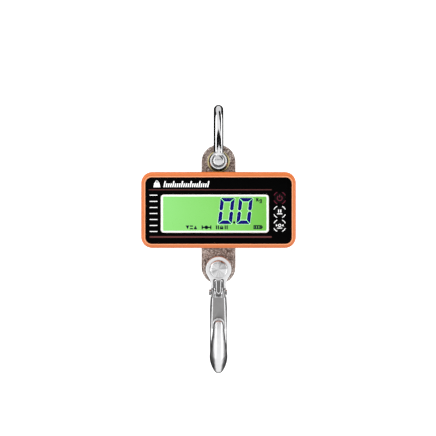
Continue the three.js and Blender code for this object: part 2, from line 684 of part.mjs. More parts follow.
// Stations down the hook's middle line in its own plane: y, z, half thickness, half width, and how much the
// inner side is wider than the outer one.
const HOOK_STATIONS = [
  [3, -169, 8.5, 7.4, 0],
  [8, -178.5, 8.2, 7.9, 0.05],
  [16.2, -189, 8, 8.4, 0.15],
  [22.3, -202, 7.8, 8.3, 0.25],
  [23.4, BOWL_Z, 8.2, 8.2, 0.4],
  [17.2, -233, 9, 7.9, 0.4],
  [0, -240.8, 9.7, 7.7, 0.38],
  [-16, -232.6, 8.6, 7.9, 0.4],
  [-22, -219, 6.8, 6.8, 0.3],
  [-21.8, -208, 5.3, 5.5, 0.22],
  [-20, -199.6, 4, 4.9, 0.12],
];
const HOOK_RINGS = 34;
const HOOK_SIDES = 20;
const HOOK_FULLNESS = 0.68; // below 1 the section's corners fill out
const TIP_RINGS = 3;

// One closed section: rounded, and wider toward the inside of the bowl.
function hookSection(centre, tangent, thickness, width, skew) {
  const ring = [];
  for (let j = 0; j < HOOK_SIDES; j += 1) {
    const angle = (2 * Math.PI * j) / HOOK_SIDES;
    const across = Math.sign(Math.sin(angle)) * Math.abs(Math.sin(angle)) ** HOOK_FULLNESS;
    const outward = thickness * Math.cos(angle);
    const x = width * across * (1 - skew * Math.cos(angle));
    ring.push([x, centre.y - tangent.z * outward, centre.z + tangent.y * outward]);
  }
  return ring;
}

function hookBlade() {
  const centreLine = curveThrough(HOOK_STATIONS.map(([y, z]) => [0, y, z]));
  const sizes = curveThrough(HOOK_STATIONS.map(([, , thickness, width, skew]) => [thickness, width, skew]));
  const rings = [];
  for (let i = 0; i <= HOOK_RINGS; i += 1) {
    const u = i / HOOK_RINGS;
    const size = sizes.getPoint(u);
    rings.push(hookSection(centreLine.getPoint(u), centreLine.getTangent(u), size.x, size.y, size.z));
  }
  const end = centreLine.getPoint(1);
  const tangent = centreLine.getTangent(1);
  const size = sizes.getPoint(1);
  for (let i = 1; i <= TIP_RINGS; i += 1) {
    const angle = (i / (TIP_RINGS + 0.4)) * (Math.PI / 2);
    const centre = end.clone().addScaledVector(tangent, size.x * 0.95 * Math.sin(angle));
    rings.push(hookSection(centre, tangent, size.x * Math.cos(angle), size.y * Math.cos(angle), size.z));
  }
  return loft(rings);
}

// One ear of the clevis in (x, z): a round head that narrows to the neck.
function clevisEar() {
  const shape = new THREE.Shape();
  const shoulder = Math.PI * 0.2;
  shape.absarc(0, LOWER_PIN_Z, CLEVIS_EAR_RADIUS, -shoulder, Math.PI + shoulder);
  shape.quadraticCurveTo(-NECK_HALF_WIDTH, LOWER_PIN_Z - 11, -NECK_HALF_WIDTH, NECK_TOP_Z + 1);
  shape.lineTo(-NECK_HALF_WIDTH, NECK_TOP_Z - 2);
  shape.lineTo(NECK_HALF_WIDTH, NECK_TOP_Z - 2);
  shape.lineTo(NECK_HALF_WIDTH, NECK_TOP_Z + 1);
  const shoulderX = CLEVIS_EAR_RADIUS * Math.cos(shoulder);
  const shoulderZ = LOWER_PIN_Z - CLEVIS_EAR_RADIUS * Math.sin(shoulder);
  shape.quadraticCurveTo(NECK_HALF_WIDTH, LOWER_PIN_Z - 11, shoulderX, shoulderZ);
  return shape;
}

// The block under the two ears in (y, z), with its lower corners rounded off.
function clevisBridge() {
  const half = CLEVIS_OUTER_HALF;
  const shape = new THREE.Shape();
  shape.moveTo(half, NECK_TOP_Z);
  shape.lineTo(-half, NECK_TOP_Z);
  shape.lineTo(-half, NECK_BOTTOM_Z + 4);
  shape.quadraticCurveTo(-half + 1, NECK_BOTTOM_Z, -half + 6, NECK_BOTTOM_Z);
  shape.lineTo(half - 5, NECK_BOTTOM_Z - 1);
  shape.quadraticCurveTo(half, NECK_BOTTOM_Z, half, NECK_TOP_Z - 3);
  shape.closePath();
  return shape;
}

function hookBody() {
  const earYs = [[-CLEVIS_OUTER_HALF, -CLEVIS_GAP_HALF], [CLEVIS_GAP_HALF, CLEVIS_OUTER_HALF]];
  const rounding = { bevel: 0.8, segments: 8, bevelSegments: 1 };
  const ears = earYs.map(([y0, y1]) => extrudeY(clevisEar(), y0, y1, rounding));
  const bridge = extrudeX(clevisBridge(), -NECK_HALF_WIDTH, NECK_HALF_WIDTH, 5);
  const whole = join(hookBlade(), bridge, ...ears);
  const sides = [[-12, -LUG_HALF_WIDTH], [LUG_HALF_WIDTH, 12]];
  const plateRoom = box(-20, 20, -CLEVIS_GAP_HALF, CLEVIS_GAP_HALF, NECK_TOP_Z, -120);
  const saddleZ = BOWL_Z - BOWL_RADIUS - SADDLE_DEPTH;
  const grooves = [-GROOVE_X, GROOVE_X].map((x) => {
    const [x0, x1] = [x - GROOVE_HALF_WIDTH, x + GROOVE_HALF_WIDTH];
    return box(x0, x1, -20, -CLEVIS_OUTER_HALF + GROOVE_DEPTH, RIVET_Z, GROOVE_TOP_Z);
  });
  return cut(
    whole,
    plateRoom,
    ...grooves,
    cylinderY(HOOK_PIN_RADIUS + 0.1, -30, 30, 0, LOWER_PIN_Z, 32),
    cylinderX(RIVET_RADIUS + 0.1, -12, 12, RIVET_Y, RIVET_Z, 20),
    ...sides.map(([x0, x1]) => cylinderX(EAR_SWEEP_RADIUS, x0, x1, RIVET_Y, RIVET_Z, 28)),
    ...sides.map(([x0, x1]) => box(x0, x1, -20, RIVET_Y + 6.9, RIVET_Z - 8, RIVET_Z)),
    box(-6, 6, -4, 4, saddleZ, saddleZ + 2),
  );
}

// A pin with a low domed head in front and a drilled end behind for the cotter.
function hookPin() {
  const headY = -CLEVIS_OUTER_HALF - GAP;
  const head = HOOK_PIN_HEAD_RADIUS;
  const radius = HOOK_PIN_RADIUS;
  const endY = HOOK_COTTER_Y + 2.8;
  const profile = [
    [0, headY - 3.1], [4.5, headY - 2.9], [head - 1.3, headY - 2.2], [head, headY - 1.2], [head, headY],
    [radius, headY], [radius, endY - PIN_END_CHAMFER], [radius - PIN_END_CHAMFER, endY], [0, endY],
  ];
  return cut(latheY(profile, 0, LOWER_PIN_Z, 28), cotterHole(HOOK_COTTER_Y, LOWER_PIN_Z));
}

function hookPinWasher() {
  const y0 = CLEVIS_OUTER_HALF + 0.1;
  const y1 = y0 + 1.6;
  const inner = HOOK_PIN_RADIUS + RUNNING_GAP;
  const outer = 9;
  return latheY([[inner, y0], [outer, y0], [outer, y1], [inner, y1], [inner, y0]], 0, LOWER_PIN_Z, 32);
}

// ---------- Latch ----------

function latchRivet() {
  const shank = cylinderX(RIVET_RADIUS, -8, 8, RIVET_Y, RIVET_Z, 20);
  const head = cylinderX(2.7, -9.4, -LATCH_HALF_WIDTH - 0.15, RIVET_Y, RIVET_Z, 20);
  const upset = cylinderX(2.5, LATCH_HALF_WIDTH + 0.15, 8.2, RIVET_Y, RIVET_Z, 20);
  return join(shank, head, upset);
}

// One side of the channel in (y, z): an eye round the rivet and a flange down to the tip.
function latchSide() {
  const shape = new THREE.Shape();
  shape.moveTo(WEB_BOTTOM_Y, LATCH_BOTTOM_Z);
  shape.lineTo(WEB_BOTTOM_Y + 3.6, LATCH_BOTTOM_Z + 0.6);
  shape.lineTo(RIVET_Y + 1.4, RIVET_Z - 10);
  shape.absarc(RIVET_Y, RIVET_Z, LATCH_EAR_RADIUS, 0, Math.PI);
  shape.lineTo(WEB_TOP_Y, LATCH_WEB_TOP_Z);
  shape.closePath();
  return shape;
}

function latchWeb() {
  const shape = new THREE.Shape();
  shape.moveTo(WEB_BOTTOM_Y, LATCH_BOTTOM_Z);
  shape.lineTo(WEB_BOTTOM_Y + LATCH_SHEET, LATCH_BOTTOM_Z);
  shape.lineTo(WEB_TOP_Y + LATCH_SHEET, LATCH_WEB_TOP_Z);
  shape.lineTo(WEB_TOP_Y, LATCH_WEB_TOP_Z);
  shape.closePath();
  return shape;
}

// The arch cut from the web's lower end, where the tip of the hook stands.
function tipArch() {
  const half = 4.5;
  const top = -195;
  const shape = new THREE.Shape();
  shape.moveTo(half, -210);
  shape.lineTo(half, top - half);
  shape.absarc(0, top - half, half, 0, Math.PI);
  shape.lineTo(-half, -210);
  shape.closePath();
  return shape;
}

// What the press takes off the web's two long corners, leaving them round.
function bendCorners(outer) {
  const radius = LATCH_BEND_RADIUS;
  const lowZ = LATCH_BOTTOM_Z - 1;
  const slope = (WEB_TOP_Y - WEB_BOTTOM_Y) / (LATCH_WEB_TOP_Z - LATCH_BOTTOM_Z);
  return [-1, 1].map((side) => {
    const edge = side * outer;
    const centre = side * (outer - radius);
    const [x0, x1] = [edge + side, centre].sort((a, b) => a - b);
    const block = box(x0, x1, -1, radius, lowZ, LATCH_WEB_TOP_Z);
    const round = cylinderZ(radius, lowZ - 1, LATCH_WEB_TOP_Z + 1, centre, radius, 24);
    return cut(block, round).warp((vertex) => {
      vertex[1] += WEB_TOP_Y + slope * (vertex[2] - LATCH_WEB_TOP_Z);
    });
  });
}

function latch() {
  const outer = LATCH_HALF_WIDTH - LATCH_TAPER / 2;
  const inner = outer - LATCH_SHEET;
  const sides = [[-outer, -inner], [inner, outer]].map(([x0, x1]) => extrudeX(latchSide(), x0, x1, 12));
  const web = extrudeX(latchWeb(), -outer, outer);
  const rivetHole = cylinderX(RIVET_RADIUS + 0.1, -12, 12, RIVET_Y, RIVET_Z, 20);
  const arch = extrudeY(tipArch(), -30, 0, { segments: 10 });
  const flat = cut(join(web, ...sides), rivetHole, arch, ...bendCorners(outer));
  const height = LATCH_WEB_TOP_Z - LATCH_BOTTOM_Z;
  const widen = (x, z) => x + (Math.sign(x) * LATCH_TAPER * (LATCH_WEB_TOP_Z - z)) / height;
  return flat.warp((vertex) => {
    if (vertex[2] < LATCH_WEB_TOP_Z) vertex[0] = widen(vertex[0], vertex[2]);
  });
}

// A double torsion spring: tails in the channel, a coil each side of the lug, legs up the neck's grooves, and a
// loop hanging down the neck's front.
function latchSpring() {
  const coilRadius = SPRING_COIL_RADIUS;
  const frontY = -CLEVIS_OUTER_HALF - 1.05;
  const outerX = -4.4;
  const innerX = -3;
  const half = [[outerX, -12.4, -181.5], [outerX, -12.5, -177]];
  const turns = 12;
  for (let i = 0; i <= turns; i += 1) {
    const angle = Math.PI * (1.25 - (2.25 * i) / turns);
    const x = outerX + ((innerX - outerX) * i) / turns;
    half.push([x, RIVET_Y + coilRadius * Math.cos(angle), RIVET_Z + coilRadius * Math.sin(angle)]);
  }
  const grooveY = -CLEVIS_OUTER_HALF + 1.15;
  half.push([-GROOVE_X, grooveY, -167], [-GROOVE_X, grooveY, -161.6], [-3.3, frontY + 0.8, -159.4]);
  half.push([-2.5, frontY, -159.2], [-2, frontY, -160.8], [-1.9, frontY, -168.6], [-1.4, frontY, -170.6]);
  const mirrored = half.map(([x, y, z]) => [-x, y, z]).reverse();
  const path = curveThrough([...half, [0, frontY, -171.4], ...mirrored]);
  return wire(path, SPRING_WIRE_RADIUS, 84, 3);
}

// ---------- Materials and assembly ----------

function material(color, roughness, metalness) {
  return new THREE.MeshStandardMaterial({ color, roughness, metalness });
}

const CHROME = material(0xe6e8ea, 0.08, 1);
const SATIN_STEEL = material(0xd0d1d2, 0.35, 1);
const CAST_PLATE = material(0x8c7d76, 0.75, 0.6);
const BRASS = material(0xd8a640, 0.3, 1);
const ORANGE = material(0xee7a30, 0.3, 0);
const BLACK_FACE = material(0x0a0a0b, 0.3, 0);
const PALE_TRIM = material(0xf0f0ee, 0.4, 0);
const CLEAR = material(0xf4fbf4, 0.05, 0);
const LCD_GREEN = material(0x8fe070, 0.4, 0);
const LIGHT_GUIDE = material(0xf2fff0, 0.5, 0);
const BOARD_GREEN = material(0x1f6b3a, 0.5, 0);
const RUBBER = material(0x1b1b1c, 0.8, 0);
const CHIP_BLACK = material(0x17181a, 0.5, 0);
const KEY_BLACK = material(0x0c0c0d, 0.45, 0);
const POTTING = material(0xe9e6df, 0.5, 0);
const GAUGE_FOIL = material(0xb9794a, 0.4, 0.6);
const CELL_WRAP = material(0x2d5fa8, 0.35, 0.2);
const NICKEL = material(0xc9ccd0, 0.3, 1);
const SPRING_STEEL = material(0xdadcdf, 0.25, 1);
const LEAD = material(0x303338, 0.6, 0);

const scale = new THREE.Group();

function add(name, solid, finish) {
  const mesh = new THREE.Mesh(geometryOf(solid), finish);
  mesh.name = name;
  scale.add(mesh);
}

add("shackle_bow", shackleBow(), CHROME);
add("shackle_pin", shacklePin(), SATIN_STEEL);
const nutBore = SHACKLE_PIN_RADIUS + 0.1;
add("shackle_pin_nut", hexNut(NUT_FLATS, nutBore, NUT_Y, NUT_Y + NUT_LENGTH, UPPER_PIN_Z), SATIN_STEEL);
add("shackle_pin_cotter", cotter(SHACKLE_COTTER_Y, UPPER_PIN_Z, SHACKLE_PIN_RADIUS), SPRING_STEEL);

add("load_plate", loadPlate(), CAST_PLATE);
add("upper_bush_front", upperBush(-1), BRASS);
add("upper_bush_rear", upperBush(1), BRASS);
add("lower_bush", lowerBush(), BRASS);
add("strain_gauge_front", strainGauge(-1), GAUGE_FOIL);
add("strain_gauge_rear", strainGauge(1), GAUGE_FOIL);
add("gauge_potting_front", gaugePotting(-1), POTTING);
add("gauge_potting_rear", gaugePotting(1), POTTING);

add("front_shell", frontShell(), ORANGE);
add("rear_shell", rearShell(), ORANGE);
add("case_gasket", caseGasket(), RUBBER);
add("top_seal", plateSeal(1), RUBBER);
add("bottom_seal", plateSeal(-1), RUBBER);
CORNER_BOSSES.forEach(([x, z], i) => {
  add(`case_screw_${i + 1}`, screwY(x, z, CASE_SCREW_SEAT_Y + 0.05, -18, 1.6, 2.9, 2.2), SATIN_STEEL);
});
PLATE_SCREW_Z.forEach((z, i) => {
  add(`plate_screw_${i + 1}`, screwY(0, z, PLATE_SCREW_SEAT_Y + 0.05, 1.2, 2.15, 3.8, 2.6), SATIN_STEEL);
});

add("front_overlay", frontOverlay(), BLACK_FACE);
add("lcd_frame", lcdFrame(), PALE_TRIM);
add("lcd_window", lcdWindow(), CLEAR);
add("lcd_panel", lcdLayer(101, 36, -19.9, -18.2), LCD_GREEN);
add("lcd_backlight", lcdLayer(98, 33, -18.1, -14.6), LIGHT_GUIDE);
Object.entries(KEY_Z).forEach(([name, z]) => {
  add(`${name}_button`, keyCap(z), KEY_BLACK);
  add(`${name}_switch`, tactSwitch(z), CHIP_BLACK);
});

add("main_board", mainBoard(), BOARD_GREEN);
BOARD_BOSSES.forEach(([x, z], i) => {
  add(`board_screw_${i + 1}`, screwY(x, z, BOARD_BACK_Y, -18.6, 1.15, 2.2, 1.5), SATIN_STEEL);
});
add("controller_chip", chip(30, -100, 11, 11, 1.5), CHIP_BLACK);
add("converter_chip", chip(26, -78, 9, 6, 1.4), CHIP_BLACK);
add("gauge_cable", gaugeCable(), LEAD);

add("battery_tray", batteryTray(), CHIP_BLACK);
[0, 1, 2].forEach((index) => add(`battery_cell_${index + 1}`, batteryCell(index), CELL_WRAP));
add("battery_contact_top", batteryContact(1), NICKEL);
add("battery_contact_bottom", batteryContact(-1), NICKEL);
add("battery_lead", batteryLead(), LEAD);
add("battery_door", batteryDoor(), ORANGE);

add("hook_body", hookBody(), SATIN_STEEL);
add("hook_pin", hookPin(), SATIN_STEEL);
add("hook_pin_washer", hookPinWasher(), SATIN_STEEL);
add("hook_pin_cotter", cotter(HOOK_COTTER_Y, LOWER_PIN_Z, HOOK_PIN_RADIUS), SPRING_STEEL);
add("latch_rivet", latchRivet(), SATIN_STEEL);
add("latch_spring", latchSpring(), SPRING_STEEL);
add("latch", latch(), SATIN_STEEL);

export default scale;
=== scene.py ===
"""The looks of a hanging crane scale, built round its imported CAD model.

Metres, in the model's own frame: the origin is the inside of the shackle's crown, -Y is out of the display
and +Z is up. Places come from the model's nodes. The prints and the display are laid out in millimetres.
"""
import json
import math

import bmesh
import bpy
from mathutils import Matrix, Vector


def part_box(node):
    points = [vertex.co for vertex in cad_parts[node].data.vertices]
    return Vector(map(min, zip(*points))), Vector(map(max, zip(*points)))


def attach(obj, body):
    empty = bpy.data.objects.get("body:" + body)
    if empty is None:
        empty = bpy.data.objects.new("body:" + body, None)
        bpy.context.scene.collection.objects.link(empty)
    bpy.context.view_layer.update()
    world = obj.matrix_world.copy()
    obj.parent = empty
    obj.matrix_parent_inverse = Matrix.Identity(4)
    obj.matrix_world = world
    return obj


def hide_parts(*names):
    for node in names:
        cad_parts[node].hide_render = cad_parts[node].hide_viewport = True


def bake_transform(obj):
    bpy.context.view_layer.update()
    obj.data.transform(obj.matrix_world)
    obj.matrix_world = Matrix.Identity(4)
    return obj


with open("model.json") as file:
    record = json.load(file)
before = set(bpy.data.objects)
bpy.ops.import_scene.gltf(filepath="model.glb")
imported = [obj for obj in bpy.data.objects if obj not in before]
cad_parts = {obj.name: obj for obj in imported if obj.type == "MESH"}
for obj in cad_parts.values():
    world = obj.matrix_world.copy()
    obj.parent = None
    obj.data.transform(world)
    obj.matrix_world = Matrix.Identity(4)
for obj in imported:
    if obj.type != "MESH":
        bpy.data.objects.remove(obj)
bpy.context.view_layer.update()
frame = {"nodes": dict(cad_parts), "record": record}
nodes = frame["nodes"]
node_body = {node: body for body, names in frame["record"]["behaviour"]["bodies"].items() for node in names}
slot_of = {part["node"]: part["material_slot"] for part in frame["record"]["subparts"]}

MM = 0.001


# ---------- Material helpers ----------


def new_material(name):
    """A material, its node tree and its Principled shader."""
    material = bpy.data.materials.new(name)
    material.use_nodes = True
    tree = material.node_tree
    return material, tree, tree.nodes["Principled BSDF"]


def add_node(tree, kind, **inputs):
    """A shader node of that kind, with its input sockets set by name."""
    node = tree.nodes.new(kind)
    for name, value in inputs.items():
        node.inputs[name.replace("_", " ")].default_value = value
    return node


def object_coordinates(tree, scale=(1, 1, 1)):
    """Object coordinates in metres, stretched by scale."""
    coordinates = tree.nodes.new("ShaderNodeTexCoord")
    mapping = tree.nodes.new("ShaderNodeMapping")
    mapping.inputs["Scale"].default_value = scale
    tree.links.new(coordinates.outputs["Object"], mapping.inputs["Vector"])
    return mapping.outputs["Vector"]


def noise(tree, vector, scale, detail=4.0, roughness=0.55):
    """A noise texture's factor output; scale is in cells per metre."""
    node = add_node(tree, "ShaderNodeTexNoise", Scale=scale, Detail=detail, Roughness=roughness)
    tree.links.new(vector, node.inputs["Vector"])
    return node.outputs["Fac"]


def ramp(tree, factor, stops):
    """A colour ramp of (position, colour) stops over factor."""
    node = tree.nodes.new("ShaderNodeValToRGB")
    elements = node.color_ramp.elements
    while len(elements) < len(stops):
        elements.new(0.5)
    for element, (position, colour) in zip(elements, stops):
        element.position = position
        element.color = (*colour, 1)
    tree.links.new(factor, node.inputs["Fac"])
    return node.outputs["Color"]


def level_range(tree, factor, low, high, from_low=0.0, from_high=1.0):
    """factor mapped from one range to another."""
    node = tree.nodes.new("ShaderNodeMapRange")
    for name, value in (("From Min", from_low), ("From Max", from_high), ("To Min", low), ("To Max", high)):
        node.inputs[name].default_value = value
    tree.links.new(factor, node.inputs["Value"])
    return node.outputs["Result"]


def combine(tree, operation, first, second):
    """A math node of two values, either of which may be a number."""
    node = tree.nodes.new("ShaderNodeMath")
    node.operation = operation
    for socket, value in zip(node.inputs, (first, second)):
        if isinstance(value, (int, float)):
            socket.default_value = value
        else:
            tree.links.new(value, socket)
    return node.outputs["Value"]


def bump(tree, shader, height, distance, strength=1.0):
    """Bends the shader's normal by a height field; distance is the relief in metres."""
    node = add_node(tree, "ShaderNodeBump", Strength=strength, Distance=distance)
    tree.links.new(height, node.inputs["Height"])
    tree.links.new(node.outputs["Normal"], shader.inputs["Normal"])


def mix_colours(tree, factor, first, second):
    """first where factor is 0 and second where it is 1; each is a socket or a colour."""
    mix = tree.nodes.new("ShaderNodeMix")
    mix.data_type = "RGBA"
    for socket, value in ((mix.inputs[0], factor), (mix.inputs[6], first), (mix.inputs[7], second)):
        if isinstance(value, tuple):
            socket.default_value = (*value, 1)
        else:
            tree.links.new(value, socket)
    return mix.outputs[2]


# ---------- Materials ----------


FACE_CORNER = 0.0056  # corner radius of the printed face
GROOVE_SHADE_PAST_FACE = 0.0019  # how far outside the printed face the painted shade line along the shell's groove runs
LIP_HIGHLIGHT_FADE = (0.0010, 0.0014)  # how far outside the printed face the painted highlight on its lip starts and stops fading
EDGE_BAND_WIDTH = 0.0009  # of the pale band on sharp edges, worn on the casting and a painted highlight on the shells
# colour of the painted shade in recesses
RECESS_SHADE_COLOUR = (0.025, 0.023, 0.022)
RECESS_SHADE_REACH = 0.006  # how far apart the walls of a recess that gets painted shade may be
SPOKE_REFLECTION_SHADE = 0.45  # how dark the painted reflection streaks on a turned face are beside its metal
CASTING_SHADES = [
    (0.40, (0.07, 0.05, 0.042)), (0.47, (0.24, 0.18, 0.155)),
    (0.53, (0.42, 0.335, 0.295)), (0.60, (0.90, 0.80, 0.75)),
]


def edge_band_mask(tree, radius):
    """1 on sharp convex edges and 0 elsewhere, from the angle between the bevelled and the true normal."""
    bevel = tree.nodes.new("ShaderNodeBevel")
    bevel.samples = 4
    bevel.inputs["Radius"].default_value = radius
    geometry = tree.nodes.new("ShaderNodeNewGeometry")
    dot = tree.nodes.new("ShaderNodeVectorMath")
    dot.operation = "DOT_PRODUCT"
    tree.links.new(bevel.outputs["Normal"], dot.inputs[0])
    tree.links.new(geometry.outputs["Normal"], dot.inputs[1])
    return level_range(tree, dot.outputs["Value"], 1.0, 0.0, 0.8, 0.99)


def recesses(tree, distance):
    """0 in the open and up to 1 deep in a recess."""
    occlusion = tree.nodes.new("ShaderNodeAmbientOcclusion")
    occlusion.samples = 6
    occlusion.inputs["Distance"].default_value = distance
    return level_range(tree, occlusion.outputs["AO"], 1.0, 0.0, 0.15, 0.8)


def turned_away(tree):
    """0 on faces looking forward and 1 on those looking up or to either side."""
    geometry = tree.nodes.new("ShaderNodeNewGeometry")
    split = tree.nodes.new("ShaderNodeSeparateXYZ")
    tree.links.new(geometry.outputs["Normal"], split.inputs["Vector"])
    away = combine(tree, "MAXIMUM", combine(tree, "ABSOLUTE", split.outputs["X"], 0), split.outputs["Z"])
    return level_range(tree, away, 0.0, 1.0, 0.12, 0.5)


def painted_spoke_reflections(tree, centre):
    """Painted reflection streaks that run out from a turned face's centre, which is (x, z) in metres."""
    split = tree.nodes.new("ShaderNodeSeparateXYZ")
    tree.links.new(object_coordinates(tree), split.inputs["Vector"])
    across = combine(tree, "SUBTRACT", split.outputs["X"], centre[0])
    up = combine(tree, "SUBTRACT", split.outputs["Z"], centre[1])
    texture = tree.nodes.new("ShaderNodeTexNoise")
    texture.noise_dimensions = "1D"
    texture.inputs["Scale"].default_value = 1.3
    texture.inputs["Detail"].default_value = 5
    tree.links.new(combine(tree, "ARCTAN2", up, across), texture.inputs["W"])
    return level_range(tree, texture.outputs["Fac"], 0.0, 1.0, 0.42, 0.68)


def metal(name, colour, roughness, spread, grain=(1, 1, 1), grain_scale=2500, relief=4e-6,
          mottling=0.0, recess_shade=0.0, painted_highlight=None, reflection_spokes=None):
    """A bare metal: mottled colour, uneven roughness and a fine grain. It may have painted shade in its
    recesses, a painted highlight in a given colour on faces that look up or to either side, and painted
    reflection streaks out from a given turned face's centre."""
    material, tree, shader = new_material(name)
    shader.inputs["Metallic"].default_value = 1.0
    vector = object_coordinates(tree)
    broad = noise(tree, vector, 90, 3)
    darker = tuple(c * (1 - mottling) for c in colour)
    base = ramp(tree, broad, [(0.35, darker), (0.65, colour)])
    # painted highlight: faces looking up or to either side are lightened toward this colour
    if painted_highlight:
        base = mix_colours(tree, turned_away(tree), base, painted_highlight)
    # painted reflection: dark streaks run out from a turned face's centre
    if reflection_spokes:
        base = mix_colours(tree, painted_spoke_reflections(tree, reflection_spokes), base, tuple(c * SPOKE_REFLECTION_SHADE for c in colour))
    # painted shade: the colour darkens in recesses
    if recess_shade:
        painted_shade = combine(tree, "MULTIPLY", recesses(tree, RECESS_SHADE_REACH), recess_shade)
        base = mix_colours(tree, painted_shade, base, RECESS_SHADE_COLOUR)
    tree.links.new(base, shader.inputs["Base Color"])
    fine = noise(tree, object_coordinates(tree, grain), grain_scale, 5)
    smudge = noise(tree, vector, 260, 4)
    uneven = combine(tree, "MULTIPLY", combine(tree, "ADD", fine, smudge), 0.5)
    gloss = level_range(tree, uneven, roughness - spread, roughness + spread, 0.3, 0.7)
    tree.links.new(gloss, shader.inputs["Roughness"])
    bump(tree, shader, fine, relief)
    return material


def cast_metal():
    """The load plate: a brown-grey blasted casting, speckled light and dark, with bright worn edges."""
    material, tree, shader = new_material("cast_plate")
    vector = object_coordinates(tree)
    speckle = noise(tree, vector, 620, 6, 0.8)
    cloud = combine(tree, "MULTIPLY", noise(tree, vector, 120, 3), 0.15)
    mixed = combine(tree, "ADD", combine(tree, "MULTIPLY", speckle, 0.85), cloud)
    base = ramp(tree, mixed, CASTING_SHADES)
    bright_edges = combine(tree, "MULTIPLY", edge_band_mask(tree, EDGE_BAND_WIDTH), 0.9)
    tree.links.new(mix_colours(tree, bright_edges, base, (0.88, 0.84, 0.78)), shader.inputs["Base Color"])
    shader.inputs["Metallic"].default_value = 0.55
    tree.links.new(level_range(tree, speckle, 0.75, 0.42, 0.35, 0.65), shader.inputs["Roughness"])
    pits = tree.nodes.new("ShaderNodeTexVoronoi")
    pits.inputs["Scale"].default_value = 1100
    tree.links.new(vector, pits.inputs["Vector"])
    height = combine(tree, "ADD", speckle, combine(tree, "MULTIPLY", pits.outputs["Distance"], 0.5))
    bump(tree, shader, height, 0.00022, 0.9)
    return material


def plastic(name, colour, roughness, variation=0.06, grain_scale=3000, relief=3e-6, specular=0.5, coat=0.0):
    """A moulded plastic: slight shade variation, fine texture, and an uneven gloss."""
    material, tree, shader = new_material(name)
    vector = object_coordinates(tree)
    cloud = noise(tree, vector, 60, 3)
    low = tuple(c * (1 - variation) for c in colour)
    tree.links.new(ramp(tree, cloud, [(0.3, low), (0.7, colour)]), shader.inputs["Base Color"])
    grain = noise(tree, vector, grain_scale, 3)
    tree.links.new(level_range(tree, grain, roughness * 0.85, roughness * 1.15), shader.inputs["Roughness"])
    shader.inputs["Specular IOR Level"].default_value = specular
    shader.inputs["Coat Weight"].default_value = coat
    shader.inputs["Coat Roughness"].default_value = 0.08
    bump(tree, shader, grain, relief)
    return material


def distance_past_face(tree):
    """Metres outward, in x and z, from the outline of the printed face."""
    low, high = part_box("front_overlay")
    middle = ((low.x + high.x) / 2, 0, (low.z + high.z) / 2)
    straight = ((high.x - low.x) / 2 - FACE_CORNER, 0, (high.z - low.z) / 2 - FACE_CORNER)
    steps = (("SUBTRACT", middle), ("ABSOLUTE", None), ("SUBTRACT", straight), ("MAXIMUM", (0, 0, 0)))
    vector = object_coordinates(tree, (1, 0, 1))
    for operation, other in steps:
        node = tree.nodes.new("ShaderNodeVectorMath")
        node.operation = operation
        tree.links.new(vector, node.inputs[0])
        if other:
            node.inputs[1].default_value = other
        vector = node.outputs["Vector"]
    length = tree.nodes.new("ShaderNodeVectorMath")
    length.operation = "LENGTH"
    tree.links.new(vector, length.inputs[0])
    return combine(tree, "SUBTRACT", length.outputs["Value"], FACE_CORNER)


def orange_plastic():
    """The shells: glossy orange moulding, with a painted highlight on sharp edges and along the lip round the
    face, and a painted shade line along the groove round the face.
    """
    material, tree, shader = new_material("orange_plastic")
    vector = object_coordinates(tree)
    cloud = noise(tree, vector, 45, 3)
    base = ramp(tree, cloud, [(0.3, (0.75, 0.180, 0.034)), (0.7, (0.79, 0.198, 0.040))])
    # painted highlight on the sharp edges
    bright_edges = combine(tree, "MULTIPLY", edge_band_mask(tree, EDGE_BAND_WIDTH), 0.4)
    base = mix_colours(tree, bright_edges, base, (0.95, 0.32, 0.09))
    # painted shade: a darker line along the groove round the face
    past = distance_past_face(tree)
    beside = combine(tree, "ABSOLUTE", combine(tree, "SUBTRACT", past, GROOVE_SHADE_PAST_FACE), 0)
    groove = level_range(tree, beside, 0.55, 0.0, 0.0002, 0.0007)
    base = mix_colours(tree, groove, base, (0.60, 0.115, 0.016))
    # painted highlight along the lip round the face
    lip = level_range(tree, past, 0.85, 0.0, *LIP_HIGHLIGHT_FADE)
    tree.links.new(mix_colours(tree, lip, base, (1.0, 0.42, 0.20)), shader.inputs["Base Color"])
    grain = noise(tree, vector, 2600, 3)
    tree.links.new(level_range(tree, grain, 0.22, 0.34), shader.inputs["Roughness"])
    shader.inputs["Coat Weight"].default_value = 0.35
    shader.inputs["Coat Roughness"].default_value = 0.12
    bump(tree, shader, grain, 6e-6)
    return material


def printed(name, colour, glow=0.0):
    """Ink on the face: flat colour broken up by a fine print grain."""
    material, tree, shader = new_material(name)
    grain = noise(tree, object_coordinates(tree), 4000, 3)
    faded = tuple(c * 0.86 for c in colour)
    shade = ramp(tree, grain, [(0.35, faded), (0.6, colour)])
    tree.links.new(shade, shader.inputs["Base Color"])
    tree.links.new(level_range(tree, grain, 0.45, 0.6), shader.inputs["Roughness"])
    shader.inputs["Specular IOR Level"].default_value = 0.15
    # Painted light: with a glow the ink gives off light of its own, though print is no lamp.
    if glow:
        tree.links.new(shade, shader.inputs["Emission Color"])
        shader.inputs["Emission Strength"].default_value = glow
    return material


